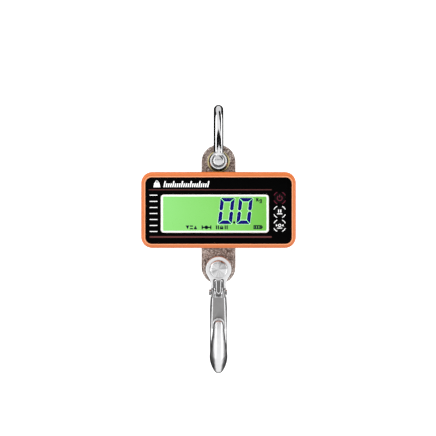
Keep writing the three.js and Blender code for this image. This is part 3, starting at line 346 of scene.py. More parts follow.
def lcd_glow():
    """The lit display: pale green on the left, turning yellower on the right, and slightly uneven."""
    material, tree, shader = new_material("lcd_green")
    low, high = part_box("lcd_panel")
    vector = object_coordinates(tree)
    split = tree.nodes.new("ShaderNodeSeparateXYZ")
    tree.links.new(vector, split.inputs["Vector"])
    across = level_range(tree, split.outputs["X"], 0.0, 1.0, low.x, high.x)
    shift = combine(tree, "MULTIPLY", combine(tree, "SUBTRACT", noise(tree, vector, 25, 2), 0.5), 0.18)
    stops = [(0.0, (0.325, 0.86, 0.235)), (0.5, (0.265, 0.76, 0.155)), (1.0, (0.185, 0.61, 0.072))]
    colour = ramp(tree, combine(tree, "ADD", across, shift), stops)
    shader.inputs["Base Color"].default_value = (0.02, 0.03, 0.02, 1)
    shader.inputs["Specular IOR Level"].default_value = 0.1
    tree.links.new(level_range(tree, noise(tree, vector, 5000, 2), 0.5, 0.6), shader.inputs["Roughness"])
    tree.links.new(colour, shader.inputs["Emission Color"])
    shader.inputs["Emission Strength"].default_value = 1.0
    return material


def clear_window():
    """The display's lens: almost nothing but a soft sheen."""
    material, tree, shader = new_material("clear_window")
    shader.inputs["Base Color"].default_value = (0.01, 0.012, 0.01, 1)
    shader.inputs["Specular IOR Level"].default_value = 0.3
    shader.inputs["Alpha"].default_value = 0.03
    smear = noise(tree, object_coordinates(tree), 130, 3)
    tree.links.new(level_range(tree, smear, 0.08, 0.2), shader.inputs["Roughness"])
    return material


def make_materials():
    """One material per slot of the record, plus the inks and the lit display's own colours."""
    pin_low, pin_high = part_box("hook_pin")
    pin_centre = (0.0, (pin_low.z + pin_high.z) / 2)
    return {
        # Painted shade in recesses below; the turned steel has painted reflection streaks and the latch a
        # painted highlight.
        "chrome": metal("chrome", (0.95, 0.95, 0.96), 0.05, 0.03, relief=6e-7),
        "satin_steel": metal("satin_steel", (0.94, 0.94, 0.95), 0.34, 0.08, (1, 1, 0.3), 1500, 3e-5,
                             mottling=0.1, recess_shade=0.85),
        "pin_steel": metal("pin_steel", (0.88, 0.88, 0.89), 0.22, 0.06, grain_scale=900, relief=1.2e-5,
                           mottling=0.1, recess_shade=0.5),
        "turned_steel": metal("turned_steel", (0.92, 0.92, 0.93), 0.26, 0.06, grain_scale=900, relief=1.2e-5,
                              mottling=0.1, recess_shade=0.5, reflection_spokes=pin_centre),
        "latch_steel": metal("latch_steel", (0.36, 0.355, 0.355), 0.42, 0.08, grain_scale=1500, relief=1.6e-5,
                             mottling=0.16, recess_shade=0.9, painted_highlight=(0.95, 0.95, 0.96)),
        "spring_steel": metal("spring_steel", (0.95, 0.95, 0.96), 0.18, 0.05, (6, 6, 1), 1500, 3e-6,
                              mottling=0.05),
        "brass": metal("brass", (1.0, 0.88, 0.46), 0.3, 0.06, grain_scale=1500, mottling=0.06, recess_shade=0.5),
        "nickel": metal("nickel", (0.75, 0.74, 0.70), 0.25, 0.06, (1, 1, 6), 1200, 3e-6, mottling=0.05),
        "gauge_foil": metal("gauge_foil", (0.72, 0.42, 0.22), 0.35, 0.08, (8, 1, 1), 1500, 3e-6,
                            mottling=0.1),
        "cast_plate": cast_metal(),
        "orange_plastic": orange_plastic(),
        "black_face": plastic("black_face", (0.001, 0.001, 0.0011), 0.42, 0.3, 3500, 2e-6, 0.02),
        "key_black": plastic("key_black", (0.0022, 0.0022, 0.0024), 0.45, 0.3, 2500, 6e-6, 0.06),
        "pale_trim": plastic("pale_trim", (0.94, 0.96, 0.93), 0.35, 0.03),
        "light_guide": plastic("light_guide", (0.82, 0.95, 0.78), 0.5, 0.05),
        "board_green": plastic("board_green", (0.02, 0.16, 0.06), 0.35, 0.35, 700, 3e-5, 0.5),
        "chip_black": plastic("chip_black", (0.015, 0.015, 0.017), 0.55, 0.3, 1800, 1e-5, 0.4),
        "rubber": plastic("rubber", (0.012, 0.012, 0.012), 0.75, 0.3, 1500, 2e-5, 0.3),
        "potting": plastic("potting", (0.72, 0.69, 0.62), 0.5, 0.12, 500, 4e-5, 0.4),
        "cell_wrap": plastic("cell_wrap", (0.02, 0.08, 0.30), 0.25, 0.15, 900, 4e-6, 0.5, 0.3),
        "lead": plastic("lead", (0.02, 0.022, 0.025), 0.6, 0.3, 1500, 1e-5, 0.3),
        "clear_window": clear_window(),
        "lcd_green": lcd_glow(),
        # the inks and the display's signs below have a faint glow: painted light
        "ink_white": printed("ink_white", (0.92, 0.92, 0.92), 0.35),
        "ink_dull_red": printed("ink_dull_red", (0.11, 0.03, 0.03), 0.3),
        "ink_crimson": printed("ink_crimson", (0.13, 0.012, 0.03), 0.3),
        "lcd_navy": printed("lcd_navy", (0.0, 0.0, 0.15), 0.3),
        "lcd_dark": printed("lcd_dark", (0.0, 0.004, 0.022), 0.2),
        # a painted glow round the display's digits
        "lcd_painted_glow": printed("lcd_painted_glow", (0.60, 0.98, 0.60), 0.55),
    }


# ---------- Mesh helpers ----------


def link(obj):
    bpy.context.scene.collection.objects.link(obj)
    return obj


def object_from(name, mesh_builder):
    """A new linked object from a bmesh."""
    mesh = bpy.data.meshes.new(name)
    mesh_builder.to_mesh(mesh)
    mesh_builder.free()
    return link(bpy.data.objects.new(name, mesh))


def place(obj, body, material):
    """Gives a new piece its material and its CAD body."""
    obj.data.materials.clear()
    obj.data.materials.append(material)
    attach(obj, body)


def smooth_by_angle(mesh, degrees=35):
    """Smooth shading with creases where faces meet at more than that angle."""
    mesh.polygons.foreach_set("use_smooth", [True] * len(mesh.polygons))
    mesh.set_sharp_from_angle(angle=math.radians(degrees))


def apply_modifiers(obj):
    """Replaces the object's mesh by its evaluated one and drops its modifiers."""
    bpy.context.view_layer.update()
    evaluated = obj.evaluated_get(bpy.context.evaluated_depsgraph_get())
    mesh = bpy.data.meshes.new_from_object(evaluated)
    obj.modifiers.clear()
    old = obj.data
    obj.data = mesh
    bpy.data.meshes.remove(old)
    mesh.name = obj.name


def merged_copy(node, name):
    """A new object with a node's shape, its vertices joined and its flat regions cleaned up."""
    builder = bmesh.new()
    builder.from_mesh(nodes[node].data)
    bmesh.ops.remove_doubles(builder, verts=builder.verts, dist=2e-6)
    bmesh.ops.dissolve_limit(builder, angle_limit=math.radians(1), verts=builder.verts, edges=builder.edges)
    return object_from(name, builder)


def fuse(name, parts, voxel, smoothing):
    """Joins solids into one skin by voxel remesh, then relaxes it so that the joins run together."""
    builder = bmesh.new()
    for part in parts:
        builder.from_mesh(part.data)
    whole = object_from(name, builder)
    for part in parts:
        mesh = part.data
        bpy.data.objects.remove(part)
        bpy.data.meshes.remove(mesh)
    remesh = whole.modifiers.new("skin", "REMESH")
    remesh.mode = "VOXEL"
    remesh.voxel_size = voxel
    relax = whole.modifiers.new("relax", "SMOOTH")
    relax.factor = 0.5
    relax.iterations = smoothing
    apply_modifiers(whole)
    whole.data.polygons.foreach_set("use_smooth", [True] * len(whole.data.polygons))
    return whole


def swept_tube(name, points, radius, sides):
    """A round tube through points, as a closed mesh; its ring frame turns with the path."""
    builder = bmesh.new()
    last = len(points) - 1
    rings = []
    side_axis = None
    for i, point in enumerate(points):
        tangent = (points[min(i + 1, last)] - points[max(i - 1, 0)]).normalized()
        if side_axis is None:
            side_axis = tangent.orthogonal().normalized()
        side_axis = (side_axis - tangent * side_axis.dot(tangent)).normalized()
        up_axis = tangent.cross(side_axis)
        ring = []
        for j in range(sides):
            a = 2 * math.pi * j / sides
            ring.append(builder.verts.new(point + radius * (math.cos(a) * side_axis + math.sin(a) * up_axis)))
        rings.append(ring)
    for first, second in zip(rings, rings[1:]):
        for j in range(sides):
            k = (j + 1) % sides
            builder.faces.new((first[j], first[k], second[k], second[j]))
    builder.faces.new(rings[0][::-1])
    builder.faces.new(rings[-1])
    bmesh.ops.recalc_face_normals(builder, faces=builder.faces)
    return object_from(name, builder)


def lathe(name, profile, centre, axis, sides=64):
    """A profile of (radius, distance along axis) turned about axis through centre; it starts on the axis, or
    closes on itself."""
    axis = Vector(axis).normalized()
    across = axis.orthogonal().normalized()
    other = axis.cross(across)
    builder = bmesh.new()
    loops = []
    for radius, along in profile:
        middle = centre + axis * along
        if radius < 1e-9:
            loops.append([builder.verts.new(middle)])
            continue
        ring = []
        for j in range(sides):
            a = 2 * math.pi * j / sides
            ring.append(builder.verts.new(middle + radius * (math.cos(a) * across + math.sin(a) * other)))
        loops.append(ring)
    pairs = list(zip(loops, loops[1:]))
    if len(loops[0]) > 1:
        pairs.append((loops[-1], loops[0]))
    for first, second in pairs:
        for j in range(sides):
            k = (j + 1) % sides
            if len(first) == 1:
                builder.faces.new((first[0], second[j], second[k]))
            else:
                builder.faces.new((first[j], first[k], second[k], second[j]))
    bmesh.ops.recalc_face_normals(builder, faces=builder.faces)
    return object_from(name, builder)


def rounded_profile(inner, outer, low, high, corner, steps=5):
    """The closed profile of a ring whose four corners are rounded."""
    points = []
    for radius, along, start in (
        (outer - corner, low + corner, -90), (outer - corner, high - corner, 0),
        (inner + corner, high - corner, 90), (inner + corner, low + corner, 180),
    ):
        for i in range(steps + 1):
            a = math.radians(start + 90 * i / steps)
            points.append((radius + corner * math.cos(a), along + corner * math.sin(a)))
    return points


def outline_solid(name, outlines, front_y, thickness):
    """Flat (x, z) shapes standing up from front_y + thickness to front_y, as one mesh of closed slabs."""
    builder = bmesh.new()
    for outline in outlines:
        front = [builder.verts.new((x, front_y, z)) for x, z in outline]
        back = [builder.verts.new((x, front_y + thickness, z)) for x, z in outline]
        builder.faces.new(front)
        builder.faces.new(back[::-1])
        for i in range(len(outline)):
            j = (i + 1) % len(outline)
            builder.faces.new((front[i], back[i], back[j], front[j]))
    bmesh.ops.recalc_face_normals(builder, faces=builder.faces)
    bmesh.ops.triangulate(builder, faces=[f for f in builder.faces if len(f.verts) > 4])
    return object_from(name, builder)


def rectangle(x0, x1, z0, z1):
    return [(x0, z0), (x1, z0), (x1, z1), (x0, z1)]


def arc_band(x, z, radius, width, start, end, steps=10):
    """A band of an arc, from angle start to end in degrees, anticlockwise as seen from the front."""
    angles = [math.radians(start + (end - start) * i / steps) for i in range(steps + 1)]
    near, far = radius - width / 2, radius + width / 2
    outer = [(x + far * math.cos(a), z + far * math.sin(a)) for a in angles]
    inner = [(x + near * math.cos(a), z + near * math.sin(a)) for a in angles]
    return outer + inner[::-1]


def disc(x, z, radius, sides=20):
    angles = [2 * math.pi * i / sides for i in range(sides)]
    return [(x + radius * math.cos(a), z + radius * math.sin(a)) for a in angles]


def in_metres(outlines, x=0, z=0):
    """Outlines in millimetres round a point, which is in metres."""
    return [[(x + px * MM, z + pz * MM) for px, pz in outline] for outline in outlines]


# ---------- Nodes with rounded edges ----------


REFINED = {  # finish, edge radius in millimetres and steps round it
    "load_plate": ("cast_plate", 0.35, 3),
    "front_shell": ("orange_plastic", 0.5, 3),
    "rear_shell": ("orange_plastic", 0.4, 3),
    "front_overlay": ("black_face", 0.08, 2),
    "lcd_frame": ("pale_trim", 0.15, 2),
    "upper_bush_front": ("brass", 0.2, 2),
    "upper_bush_rear": ("brass", 0.2, 2),
    "shackle_pin": ("pin_steel", 0.2, 2),
    "shackle_pin_nut": ("pin_steel", 0.5, 3),
    "hook_pin": ("turned_steel", 0.3, 3),
    "hook_pin_washer": ("satin_steel", 0.2, 2),
    "latch_rivet": ("latch_steel", 0.4, 3),
    "latch": ("latch_steel", 0.25, 2),
    "battery_door": ("orange_plastic", 0.25, 2),
    "power_button": ("key_black", 0.15, 2),
    "hold_button": ("key_black", 0.15, 2),
    "tare_button": ("key_black", 0.15, 2),
}


def keep_nodes(materials):
    """Gives every CAD node its slot's material; finer pieces then replace some of the nodes."""
    for name, obj in nodes.items():
        obj.data.materials.clear()
        obj.data.materials.append(materials[slot_of[name]])


def soften_edges(obj, width, segments):
    """Rounds an object's sharp edges with a bevel whose shading flows into the flats."""
    modifier = obj.modifiers.new("edge_round", "BEVEL")
    modifier.width = width
    modifier.segments = segments
    modifier.limit_method = "ANGLE"
    modifier.angle_limit = math.radians(32)
    modifier.harden_normals = False
    modifier.miter_outer = "MITER_ARC"


def refine(node, material, width, segments, prepare=None):
    """Replaces a CAD node by a copy with joined vertices, rounded edges and smooth shading; prepare may
    reshape the copy first."""
    piece = merged_copy(node, node + "_fine")
    if prepare:
        prepare(piece)
    soften_edges(piece, width, segments)
    apply_modifiers(piece)
    smooth_by_angle(piece.data)
    place(piece, node_body[node], material)
    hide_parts(node)


def round_web_top(piece):
    """Rounds the top front edge of the latch's web."""
    builder = bmesh.new()
    builder.from_mesh(piece.data)
    level = []
    for edge in builder.edges:
        a, b = edge.verts[0].co, edge.verts[1].co
        across = abs(a.x - b.x) > 4 * MM and abs(a.z - b.z) < 0.1 * MM
        if across and len(edge.link_faces) == 2 and edge.calc_face_angle(0) > math.radians(60):
            level.append((edge, a))
    top_z = max(a.z for _, a in level)
    top = [(edge, a) for edge, a in level if a.z > top_z - 0.1 * MM]
    front_y = min(a.y for _, a in top)
    chosen = [edge for edge, a in top if a.y < front_y + 0.1 * MM]
    bmesh.ops.bevel(builder, geom=chosen, offset=0.75 * MM, segments=4, affect="EDGES", profile=0.5)
    builder.to_mesh(piece.data)
    builder.free()


# ---------- Shackle ----------


HALF_EYE = 4.5 * MM  # half the length of an eye along its pin
EYE_CORNER = 2.6 * MM
BORE_CLEARANCE = 0.1 * MM
LEG_STEPS = 20
CROWN_STEPS = 48


def shackle_bow(materials):
    """The bow: one polished rod with an eye forged on each end."""
    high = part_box("shackle_bow")[1]
    pin_low, pin_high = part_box("shackle_pin")
    pin_z = (pin_low.z + pin_high.z) / 2
    eye_radius = high.x
    rod_radius = high.z / 2
    leg_y = high.y - HALF_EYE
    crown_z = rod_radius - leg_y
    foot_z = pin_z + eye_radius * 0.55
    leg = [foot_z + (crown_z - foot_z) * i / LEG_STEPS for i in range(LEG_STEPS)]
    points = [Vector((0, -leg_y, z)) for z in leg]
    for i in range(CROWN_STEPS + 1):
        a = math.pi * i / CROWN_STEPS
        points.append(Vector((0, -leg_y * math.cos(a), crown_z + leg_y * math.sin(a))))
    points += [Vector((0, leg_y, z)) for z in leg[::-1]]
    parts = [swept_tube("rod", points, rod_radius, 56)]
    bore = pin_high.x + BORE_CLEARANCE
    for side in (-1, 1):
        profile = rounded_profile(bore, eye_radius, -HALF_EYE, HALF_EYE, EYE_CORNER)
        parts.append(lathe("eye", profile, Vector((0, side * leg_y, pin_z)), (0, 1, 0), 72))
    bow = fuse("bow", parts, 0.28 * MM, 8)
    place(bow, "shackle", materials["chrome"])
    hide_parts("shackle_bow")


# ---------- Hook ----------


def spring_shaded_steel():
    """The hook's satin steel, with painted shade in its recesses and on the neck behind the latch's spring.
    """
    material = metal("hook_steel", (0.97, 0.97, 0.98), 0.32, 0.08, (1, 1, 0.3), 1500, 3e-5,
                     mottling=0.1, recess_shade=0.85)
    tree = material.node_tree
    shader = tree.nodes["Principled BSDF"]
    low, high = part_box("latch_spring")
    split = tree.nodes.new("ShaderNodeSeparateXYZ")
    vector = object_coordinates(tree)
    tree.links.new(vector, split.inputs["Vector"])
    half_z = (high.z - low.z) / 2
    shade_z = (low.z + high.z) / 2 + half_z * 0.3
    beside = combine(tree, "DIVIDE", combine(tree, "ABSOLUTE", split.outputs["X"], 0), high.x)
    along = combine(tree, "ABSOLUTE", combine(tree, "SUBTRACT", split.outputs["Z"], shade_z), 0)
    reach = combine(tree, "MAXIMUM", beside, combine(tree, "DIVIDE", along, half_z * 0.7))
    ragged = combine(tree, "ADD", reach, combine(tree, "MULTIPLY", noise(tree, vector, 900, 3), 0.3))
    # painted shade: the neck darkens behind the latch's spring, with a ragged edge
    painted_shade = combine(tree, "MULTIPLY", level_range(tree, ragged, 1.0, 0.0, 1.0, 1.25), 0.8)
    unshaded = shader.inputs["Base Color"].links[0].from_socket
    tree.links.new(mix_colours(tree, painted_shade, unshaded, (0.06, 0.055, 0.05)), shader.inputs["Base Color"])
    return material


def hook(materials):
    """The forged hook: the CAD solid with its joins run together and its skin relaxed."""
    builder = bmesh.new()
    builder.from_mesh(nodes["hook_body"].data)
    bmesh.ops.remove_doubles(builder, verts=builder.verts, dist=2e-6)
    piece = fuse("hook_forging", [object_from("hook_raw", builder)], 0.4 * MM, 6)
    place(piece, "hook", spring_shaded_steel())
    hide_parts("hook_body")


def latch_spring(materials):
    """The latch's spring, with its loop, coils and tails, as one smooth-shaded piece with its vertices
    joined.
    """
    piece = merged_copy("latch_spring", "latch_spring_fine")
    smooth_by_angle(piece.data)
    piece.data.materials.clear()
    piece.data.materials.append(materials["spring_steel"])
    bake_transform(piece)
    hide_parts("latch_spring")


# ---------- Prints on the face ----------


INK = 0.06 * MM  # how far a print stands out from its face
INK_THICKNESS = 0.09 * MM  # a print's whole depth, part of it sunk in its face
RULES = ((-65.1, 49.6, -74.1, -73.4), (-64.4, 49.6, -118.5, -117.1))
TICK_ENDS = (-64.3, -57.1)
TICK_ROWS = (-78.8, -84.6, -90.3, -95.9, -101.5, -107.1, -112.7)
TICK_HALF_HEIGHT = 0.37
PICTOGRAM = (-57.6, -68.5, 3.2)  # centre and half width
RULER = (-51.5, -9.6, -71.3, -65.6)
KEY_RING = (5.75, 0.66)  # radius and width
KEY_RING_STARTS = (24, 114, 204, 294)
KEY_RING_SWEEP = 42


def weight_pictogram(x, z, size):
    """A weight with a ring handle, as outlines in millimetres."""
    foot, shoulder = z - size * 0.9, z + size * 0.45
    body = [(x - size, foot), (x + size, foot), (x + size * 0.72, shoulder), (x - size * 0.72, shoulder)]
    handle = arc_band(x, z + size * 0.62, size * 0.36, size * 0.2, -30, 210, 12)
    return [body, handle]


def slanted_ruler(x0, x1, z0, z1):
    """A row of slanted graduations, every fourth one tall."""
    count = 21
    width = 1.15
    pitch = (x1 - x0 - width) / (count - 1)
    lean = 0.2
    outlines = []
    for i in range(count):
        x = x0 + i * pitch
        top = z1 if i % 4 == 0 else z0 + (z1 - z0) * 0.62
        shift = (top - z0) * lean
        outlines.append([(x, z0), (x + width, z0), (x + width + shift, top), (x + shift, top)])
    return outlines


def power_symbol():
    """A broken ring with a stroke in its gap."""
    return [arc_band(0, -0.2, 2.3, 0.65, 122, 418, 18), rectangle(-0.33, 0.33, 0.5, 3.1)]


def hold_symbol():
    """Two upright strokes over a short rule."""
    strokes = [rectangle(x, x + 0.95, -0.6, 2.2) for x in (-1.5, 0.55)]
    return strokes + [rectangle(-2.4, 2.4, -2.2, -1.4)]


def zero_symbol():
    """A zero between two arrows that point at it."""
    ring = arc_band(0, 0.3, 1.15, 0.6, 0, 360, 20)
    arrows = [[(side * 3.5, 1.4), (side * 3.5, -0.8), (side * 1.95, 0.3)] for side in (-1, 1)]
    return [ring] + arrows + [rectangle(-2.4, 2.4, -2.6, -1.9)]


KEY_SYMBOLS = {
    "power_button": ("power_key", "ink_crimson", power_symbol),
    "hold_button": ("hold_key", "ink_white", hold_symbol),
    "tare_button": ("tare_key", "ink_white", zero_symbol),
}


def face_prints(materials):
    """Rules, ticks and key rings, a weight and a ruler along the top, and a symbol on each key."""
    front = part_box("front_overlay")[0].y - INK
    keys = {}
    for name in KEY_SYMBOLS:
        low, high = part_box(name)
        keys[name] = (low + high) / 2

    white = [rectangle(*TICK_ENDS, z - TICK_HALF_HEIGHT, z + TICK_HALF_HEIGHT) for z in TICK_ROWS]
    white += weight_pictogram(*PICTOGRAM) + slanted_ruler(*RULER)
    crimson = []
    for name, (_, ink, _) in KEY_SYMBOLS.items():
        x, z = keys[name].x / MM, keys[name].z / MM
        arcs = [arc_band(x, z, *KEY_RING, start, start + KEY_RING_SWEEP) for start in KEY_RING_STARTS]
        (crimson if ink == "ink_crimson" else white).extend(arcs)

    for name, outlines, ink in (
        ("print_rules", [rectangle(*rule) for rule in RULES], "ink_dull_red"),
        ("print_white", white, "ink_white"),
        ("print_crimson", crimson, "ink_crimson"),
    ):
        print_piece = outline_solid(name, in_metres(outlines), front, INK_THICKNESS)
        place(print_piece, "scale_body", materials[ink])

    key_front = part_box("power_button")[0].y - INK
    for node, (body, ink, symbol) in KEY_SYMBOLS.items():
        x, z = keys[node].x, keys[node].z
        piece = outline_solid(f"symbol_{body}", in_metres(symbol(), x, z), key_front, INK_THICKNESS)
        place(piece, body, materials[ink])


# ---------- Display ----------


SLANT = math.tan(math.radians(6.5))
DIGIT_FEET = ((-0.8, 12.6), (16.5, 29.6))
DIGIT_ROWS = (-105.8, -81.2)
DIGIT_STROKE = 3.5
DECIMAL_POINT = (14.7, -104.3, 1.2)
UNIT = (35.3, -84.6, 3.3)  # lower left corner and height
BATTERY_SIGN = (32.8, 41.5, -110.6, -106.8)


def slanted_zero(x0, x1, z0, z1, stroke):
    """The six lit bars of a slanted zero, mitred at its corners; x0 to x1 is the width at the foot."""
    middle = (z0 + z1) / 2
    gap = stroke * 0.07
    notch = stroke * 0.3
    inset = stroke * 0.18  # how far a corner of the digit is cut off
    outlines = []
    for z, inward in ((z0, 1), (z1, -1)):
        inner = z + inward * stroke
        rim = z + inward * inset / 2
        outlines.append([
            (x0 + inset + gap, z), (x1 - inset - gap, z), (x1 - inset / 2 - gap, rim),
            (x1 - stroke - gap, inner), (x0 + stroke + gap, inner), (x0 + inset / 2 + gap, rim),
        ])
        near, far = inner + inward * gap, middle - inward * gap * 2
        for x, side in ((x0, 1), (x1, -1)):
            outlines.append([
                (x, z + inward * (inset + gap)), (x + side * inset / 2, z + inward * (inset / 2 + gap)),
                (x + side * stroke, near), (x + side * stroke, far - inward * notch),
                (x + side * stroke * 0.65, far), (x + side * stroke * 0.35, far), (x, far - inward * notch),
            ])
    return [[(x + (z - z0) * SLANT, z) for x, z in outline] for outline in outlines]


def grown(outline, by):
    """An outline of straight sides pushed outward by a distance."""
    centre_x = sum(x for x, _ in outline) / len(outline)
    centre_z = sum(z for _, z in outline) / len(outline)
    scale_x = 1 + by / max(abs(x - centre_x) for x, _ in outline)
    scale_z = 1 + by / max(abs(z - centre_z) for _, z in outline)
    return [(centre_x + (x - centre_x) * scale_x, centre_z + (z - centre_z) * scale_z) for x, z in outline]


def unit_letters(x, z, height):
    """The unit sign kg, drawn in strokes; x and z are its lower left corner."""
    stem = 0.95
    k = [rectangle(x, x + stem, z, z + height)]
    low, mid, high = z + height * 0.35, z + height * 0.7, z + height
    k.append([(x + stem, low), (x + stem, mid), (x + 1.5, high), (x + 2.6, high)])
    k.append([(x + 0.85, z + height * 0.45), (x + 1.6, z + height * 0.72), (x + 2.75, z), (x + 1.65, z)])
    cx, cz = x + 4.1, z + height * 0.33
    g = [arc_band(cx, cz, 0.75, 0.8, 0, 360, 18), rectangle(cx + 0.35, cx + 1.2, z - 0.8, cz + 1.15)]
    g.append(rectangle(cx - 0.95, cx + 1.2, z - 1.6, z - 0.75))
    return k + g


def status_flags():
    """Three small signs along the foot of the display: a tared load, a steady level and a held reading."""
    z0, z1 = -110.7, -107.1
    bar = 1.15
    tare = [[(-30.8, z1), (-27.4, z1), (-29.1, z0)], [(-23.4, z0), (-20.0, z0), (-21.7, z1)]]
    tare += [rectangle(-26.9, -24.0, z, z + bar) for z in (z0, z1 - bar)]
    steady = [rectangle(-15.6, -7.2, -109.5, -108.3), disc(-11.4, -108.9, 1.75)]
    steady += [rectangle(x, x + bar, z0, z1) for x in (-15.9, -7.8)]
    hold = [rectangle(x, x + bar, z0, z1) for x in (-2.5, -0.7, 5.7, 7.5)]
    hold += [rectangle(1.3, 4.5, z0, -108.7), arc_band(2.9, -108.7, 1.05, 0.65, 0, 180, 8)]
    return tare + steady + hold


def battery_gauge(x0, x1, z0, z1):
    """A cell outline with three bars in it."""
    line = 0.8
    frame_bars = [rectangle(x0, x1 - 0.9, z1 - line, z1), rectangle(x0, x1 - 0.9, z0, z0 + line)]
    frame_bars += [rectangle(x0, x0 + line, z0, z1), rectangle(x1 - 0.9 - line, x1 - 0.9, z0, z1)]
    nub = rectangle(x1 - 0.9, x1, z0 + 1.0, z1 - 1.0)
    bars = [rectangle(x0 + 1.0 + 2.2 * i, x0 + 2.5 + 2.2 * i, z0 + 0.85, z1 - 0.85) for i in range(3)]
    return frame_bars + [nub] + bars


def display_content(materials):
    """What the lit display shows: 0.0 with its unit, three status flags and the battery gauge."""
    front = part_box("lcd_panel")[0].y
    digits = []
    for x0, x1 in DIGIT_FEET:
        digits += slanted_zero(x0, x1, *DIGIT_ROWS, DIGIT_STROKE)
    small = [disc(*DECIMAL_POINT)] + unit_letters(*UNIT) + status_flags() + battery_gauge(*BATTERY_SIGN)
    for name, outlines, depth, ink in (
        # a painted glow: a pale rim round each digit
        ("lcd_painted_glow", [grown(o, 0.5) for o in digits], 0.05, "lcd_painted_glow"),
        ("lcd_digits", digits, 0.09, "lcd_navy"),
        ("lcd_signs", small, 0.06, "lcd_dark"),
    ):
        piece = outline_solid(name, in_metres(outlines), front - depth * MM, (depth - 0.01) * MM)
        place(piece, "scale_body", materials[ink])


# ---------- Camera, light and surroundings ----------


CAMERA_DISTANCE = 0.603
CAMERA_X = -0.0005
CAMERA_Z = -0.1001
CAMERA_LENS = 51.3
FLOOR_Z = -0.32
SWEEP_RADIUS = 2.2
SWEEP_BEND = 0.6
SWEEP_TOP_Z = 2.6
AIM = Vector((0, 0, -0.12))  # what the lamps point at
STRIPS = (("strip_left", -60, 0.30, 2.0), ("strip_right", 79, 0.26, 2.2))  # azimuth, width and power
STRIP_RADIUS = 0.7
STRIP_HALF_HEIGHT = 0.65
BACK_FLAG_RADIUS = 0.5
BACK_FLAGS = (("flag_behind_top", 88, 291, -0.13, 0.6), ("flag_behind_foot", 114, 256, -0.7, -0.13))
FLAG_RADIUS = 0.2415  # of the flags that stripe the shackle
SHACKLE_FLAGS = (  # lower and upper edges, as (azimuth, height) points
    ("flag_low",
     ((-50, -0.0105), (-25, -0.0095), (0, -0.0045), (22, -0.004), (42, -0.0082), (78, -0.0098)),
     ((-50, 0.0065), (-42, 0.0105), (3, 0.0185), (40, 0.0099), (62, 0.0054), (70, 0.0007), (78, -0.0082))),
    ("flag_high",
     ((6, 0.45), (12, 0.30), (22, 0.08), (32, 0.0285), (42, 0.018), (54, 0.0125), (64, 0.0175), (69, 0.06),
      (72, 0.45)),
     ((6, 0.9), (72, 0.9))),
)
CARD_HALF_WIDTH = 0.03
CARD_LIFT = 0.0004
WORLD_GREYS = ((0.0, 0.95), (0.42, 0.92), (0.56, 0.86), (1.0, 0.7))  # from straight down to straight up


def camera():
    data = bpy.data.cameras.new("camera")
    data.lens = CAMERA_LENS
    data.sensor_width = 36
    data.clip_start = 0.01
    data.clip_end = 20
    eye = link(bpy.data.objects.new("camera", data))
    eye.location = (CAMERA_X, -CAMERA_DISTANCE, CAMERA_Z)
    eye.rotation_euler = (math.pi / 2, 0, 0)
    bpy.context.scene.camera = eye


def floor_and_backdrop():
    """A pale floor that curves up into a wall all round."""
    material, tree, shader = new_material("pale_sweep")
    mottle = noise(tree, object_coordinates(tree), 3, 2)
    shade = ramp(tree, mottle, [(0.3, (0.93, 0.93, 0.93)), (0.7, (0.95, 0.95, 0.95))])
    tree.links.new(shade, shader.inputs["Base Color"])
    shader.inputs["Roughness"].default_value = 0.9
    shader.inputs["Specular IOR Level"].default_value = 0.1
    shader.inputs["Emission Color"].default_value = (1, 1, 1, 1)
    shader.inputs["Emission Strength"].default_value = 0.75
    flat = SWEEP_RADIUS - SWEEP_BEND
    profile = [(0, FLOOR_Z), (flat, FLOOR_Z)]
    for i in range(1, 13):
        a = math.pi / 2 * i / 12
        profile.append((flat + SWEEP_BEND * math.sin(a), FLOOR_Z + SWEEP_BEND * (1 - math.cos(a))))
    profile.append((SWEEP_RADIUS, SWEEP_TOP_Z))
    sweep = lathe("floor", profile, Vector((0, 0, 0)), (0, 0, 1), 96)
    smooth_by_angle(sweep.data, 60)
    sweep.data.materials.append(material)
    sweep.visible_glossy = False
    sweep.visible_diffuse = False


def flag_material(name, shade, glow=0.0):
    """Black cloth or a lit white card for the studio's flags."""
    material, tree, shader = new_material(name)
    weave = noise(tree, object_coordinates(tree), 300, 2)
    dark, light = (shade * 0.8,) * 3, (shade * 1.1,) * 3
    tree.links.new(ramp(tree, weave, [(0.3, dark), (0.7, light)]), shader.inputs["Base Color"])
    shader.inputs["Roughness"].default_value = 1
    shader.inputs["Specular IOR Level"].default_value = 0
    shader.inputs["Emission Color"].default_value = (1, 1, 1, 1)
    shader.inputs["Emission Strength"].default_value = glow
    return material


def hide_from_camera(flag, material):
    """Makes a flag of an object: only reflections show it."""
    flag.data.materials.append(material)
    flag.visible_camera = False
    flag.visible_diffuse = False
    flag.visible_shadow = False


def curved_flag(name, material, radius, lows, highs, centre=(0, 0)):
    """A flag bent round centre, seen only in reflections, between two lines of (azimuth, height) points;
    azimuth 0 is the camera's side and +90 the right."""
    builder = bmesh.new()
    start, end = lows[0][0], lows[-1][0]

    def height_at(line, azimuth):
        for (a0, z0), (a1, z1) in zip(line, line[1:]):
            if a0 <= azimuth <= a1:
                return z0 + (z1 - z0) * (azimuth - a0) / (a1 - a0)
        return line[-1][1]

    steps = max(6, int((end - start) / 3))
    columns = []
    for i in range(steps + 1):
        azimuth = start + (end - start) * i / steps
        a = math.radians(azimuth)
        x, y = centre[0] + radius * math.sin(a), centre[1] - radius * math.cos(a)
        low, high = height_at(lows, azimuth), height_at(highs, azimuth)
        top = max(high, low + 1e-5)
        columns.append([builder.verts.new((x, y, low)), builder.verts.new((x, y, top))])
    for left, right in zip(columns, columns[1:]):
        builder.faces.new((left[0], right[0], right[1], left[1]))
    hide_from_camera(object_from(name, builder), material)


def level_flag(name, material, radius, start, end, low, high):
    """A curved flag round the object with level edges."""
    curved_flag(name, material, radius, [(start, low), (end, low)], [(start, high), (end, high)])


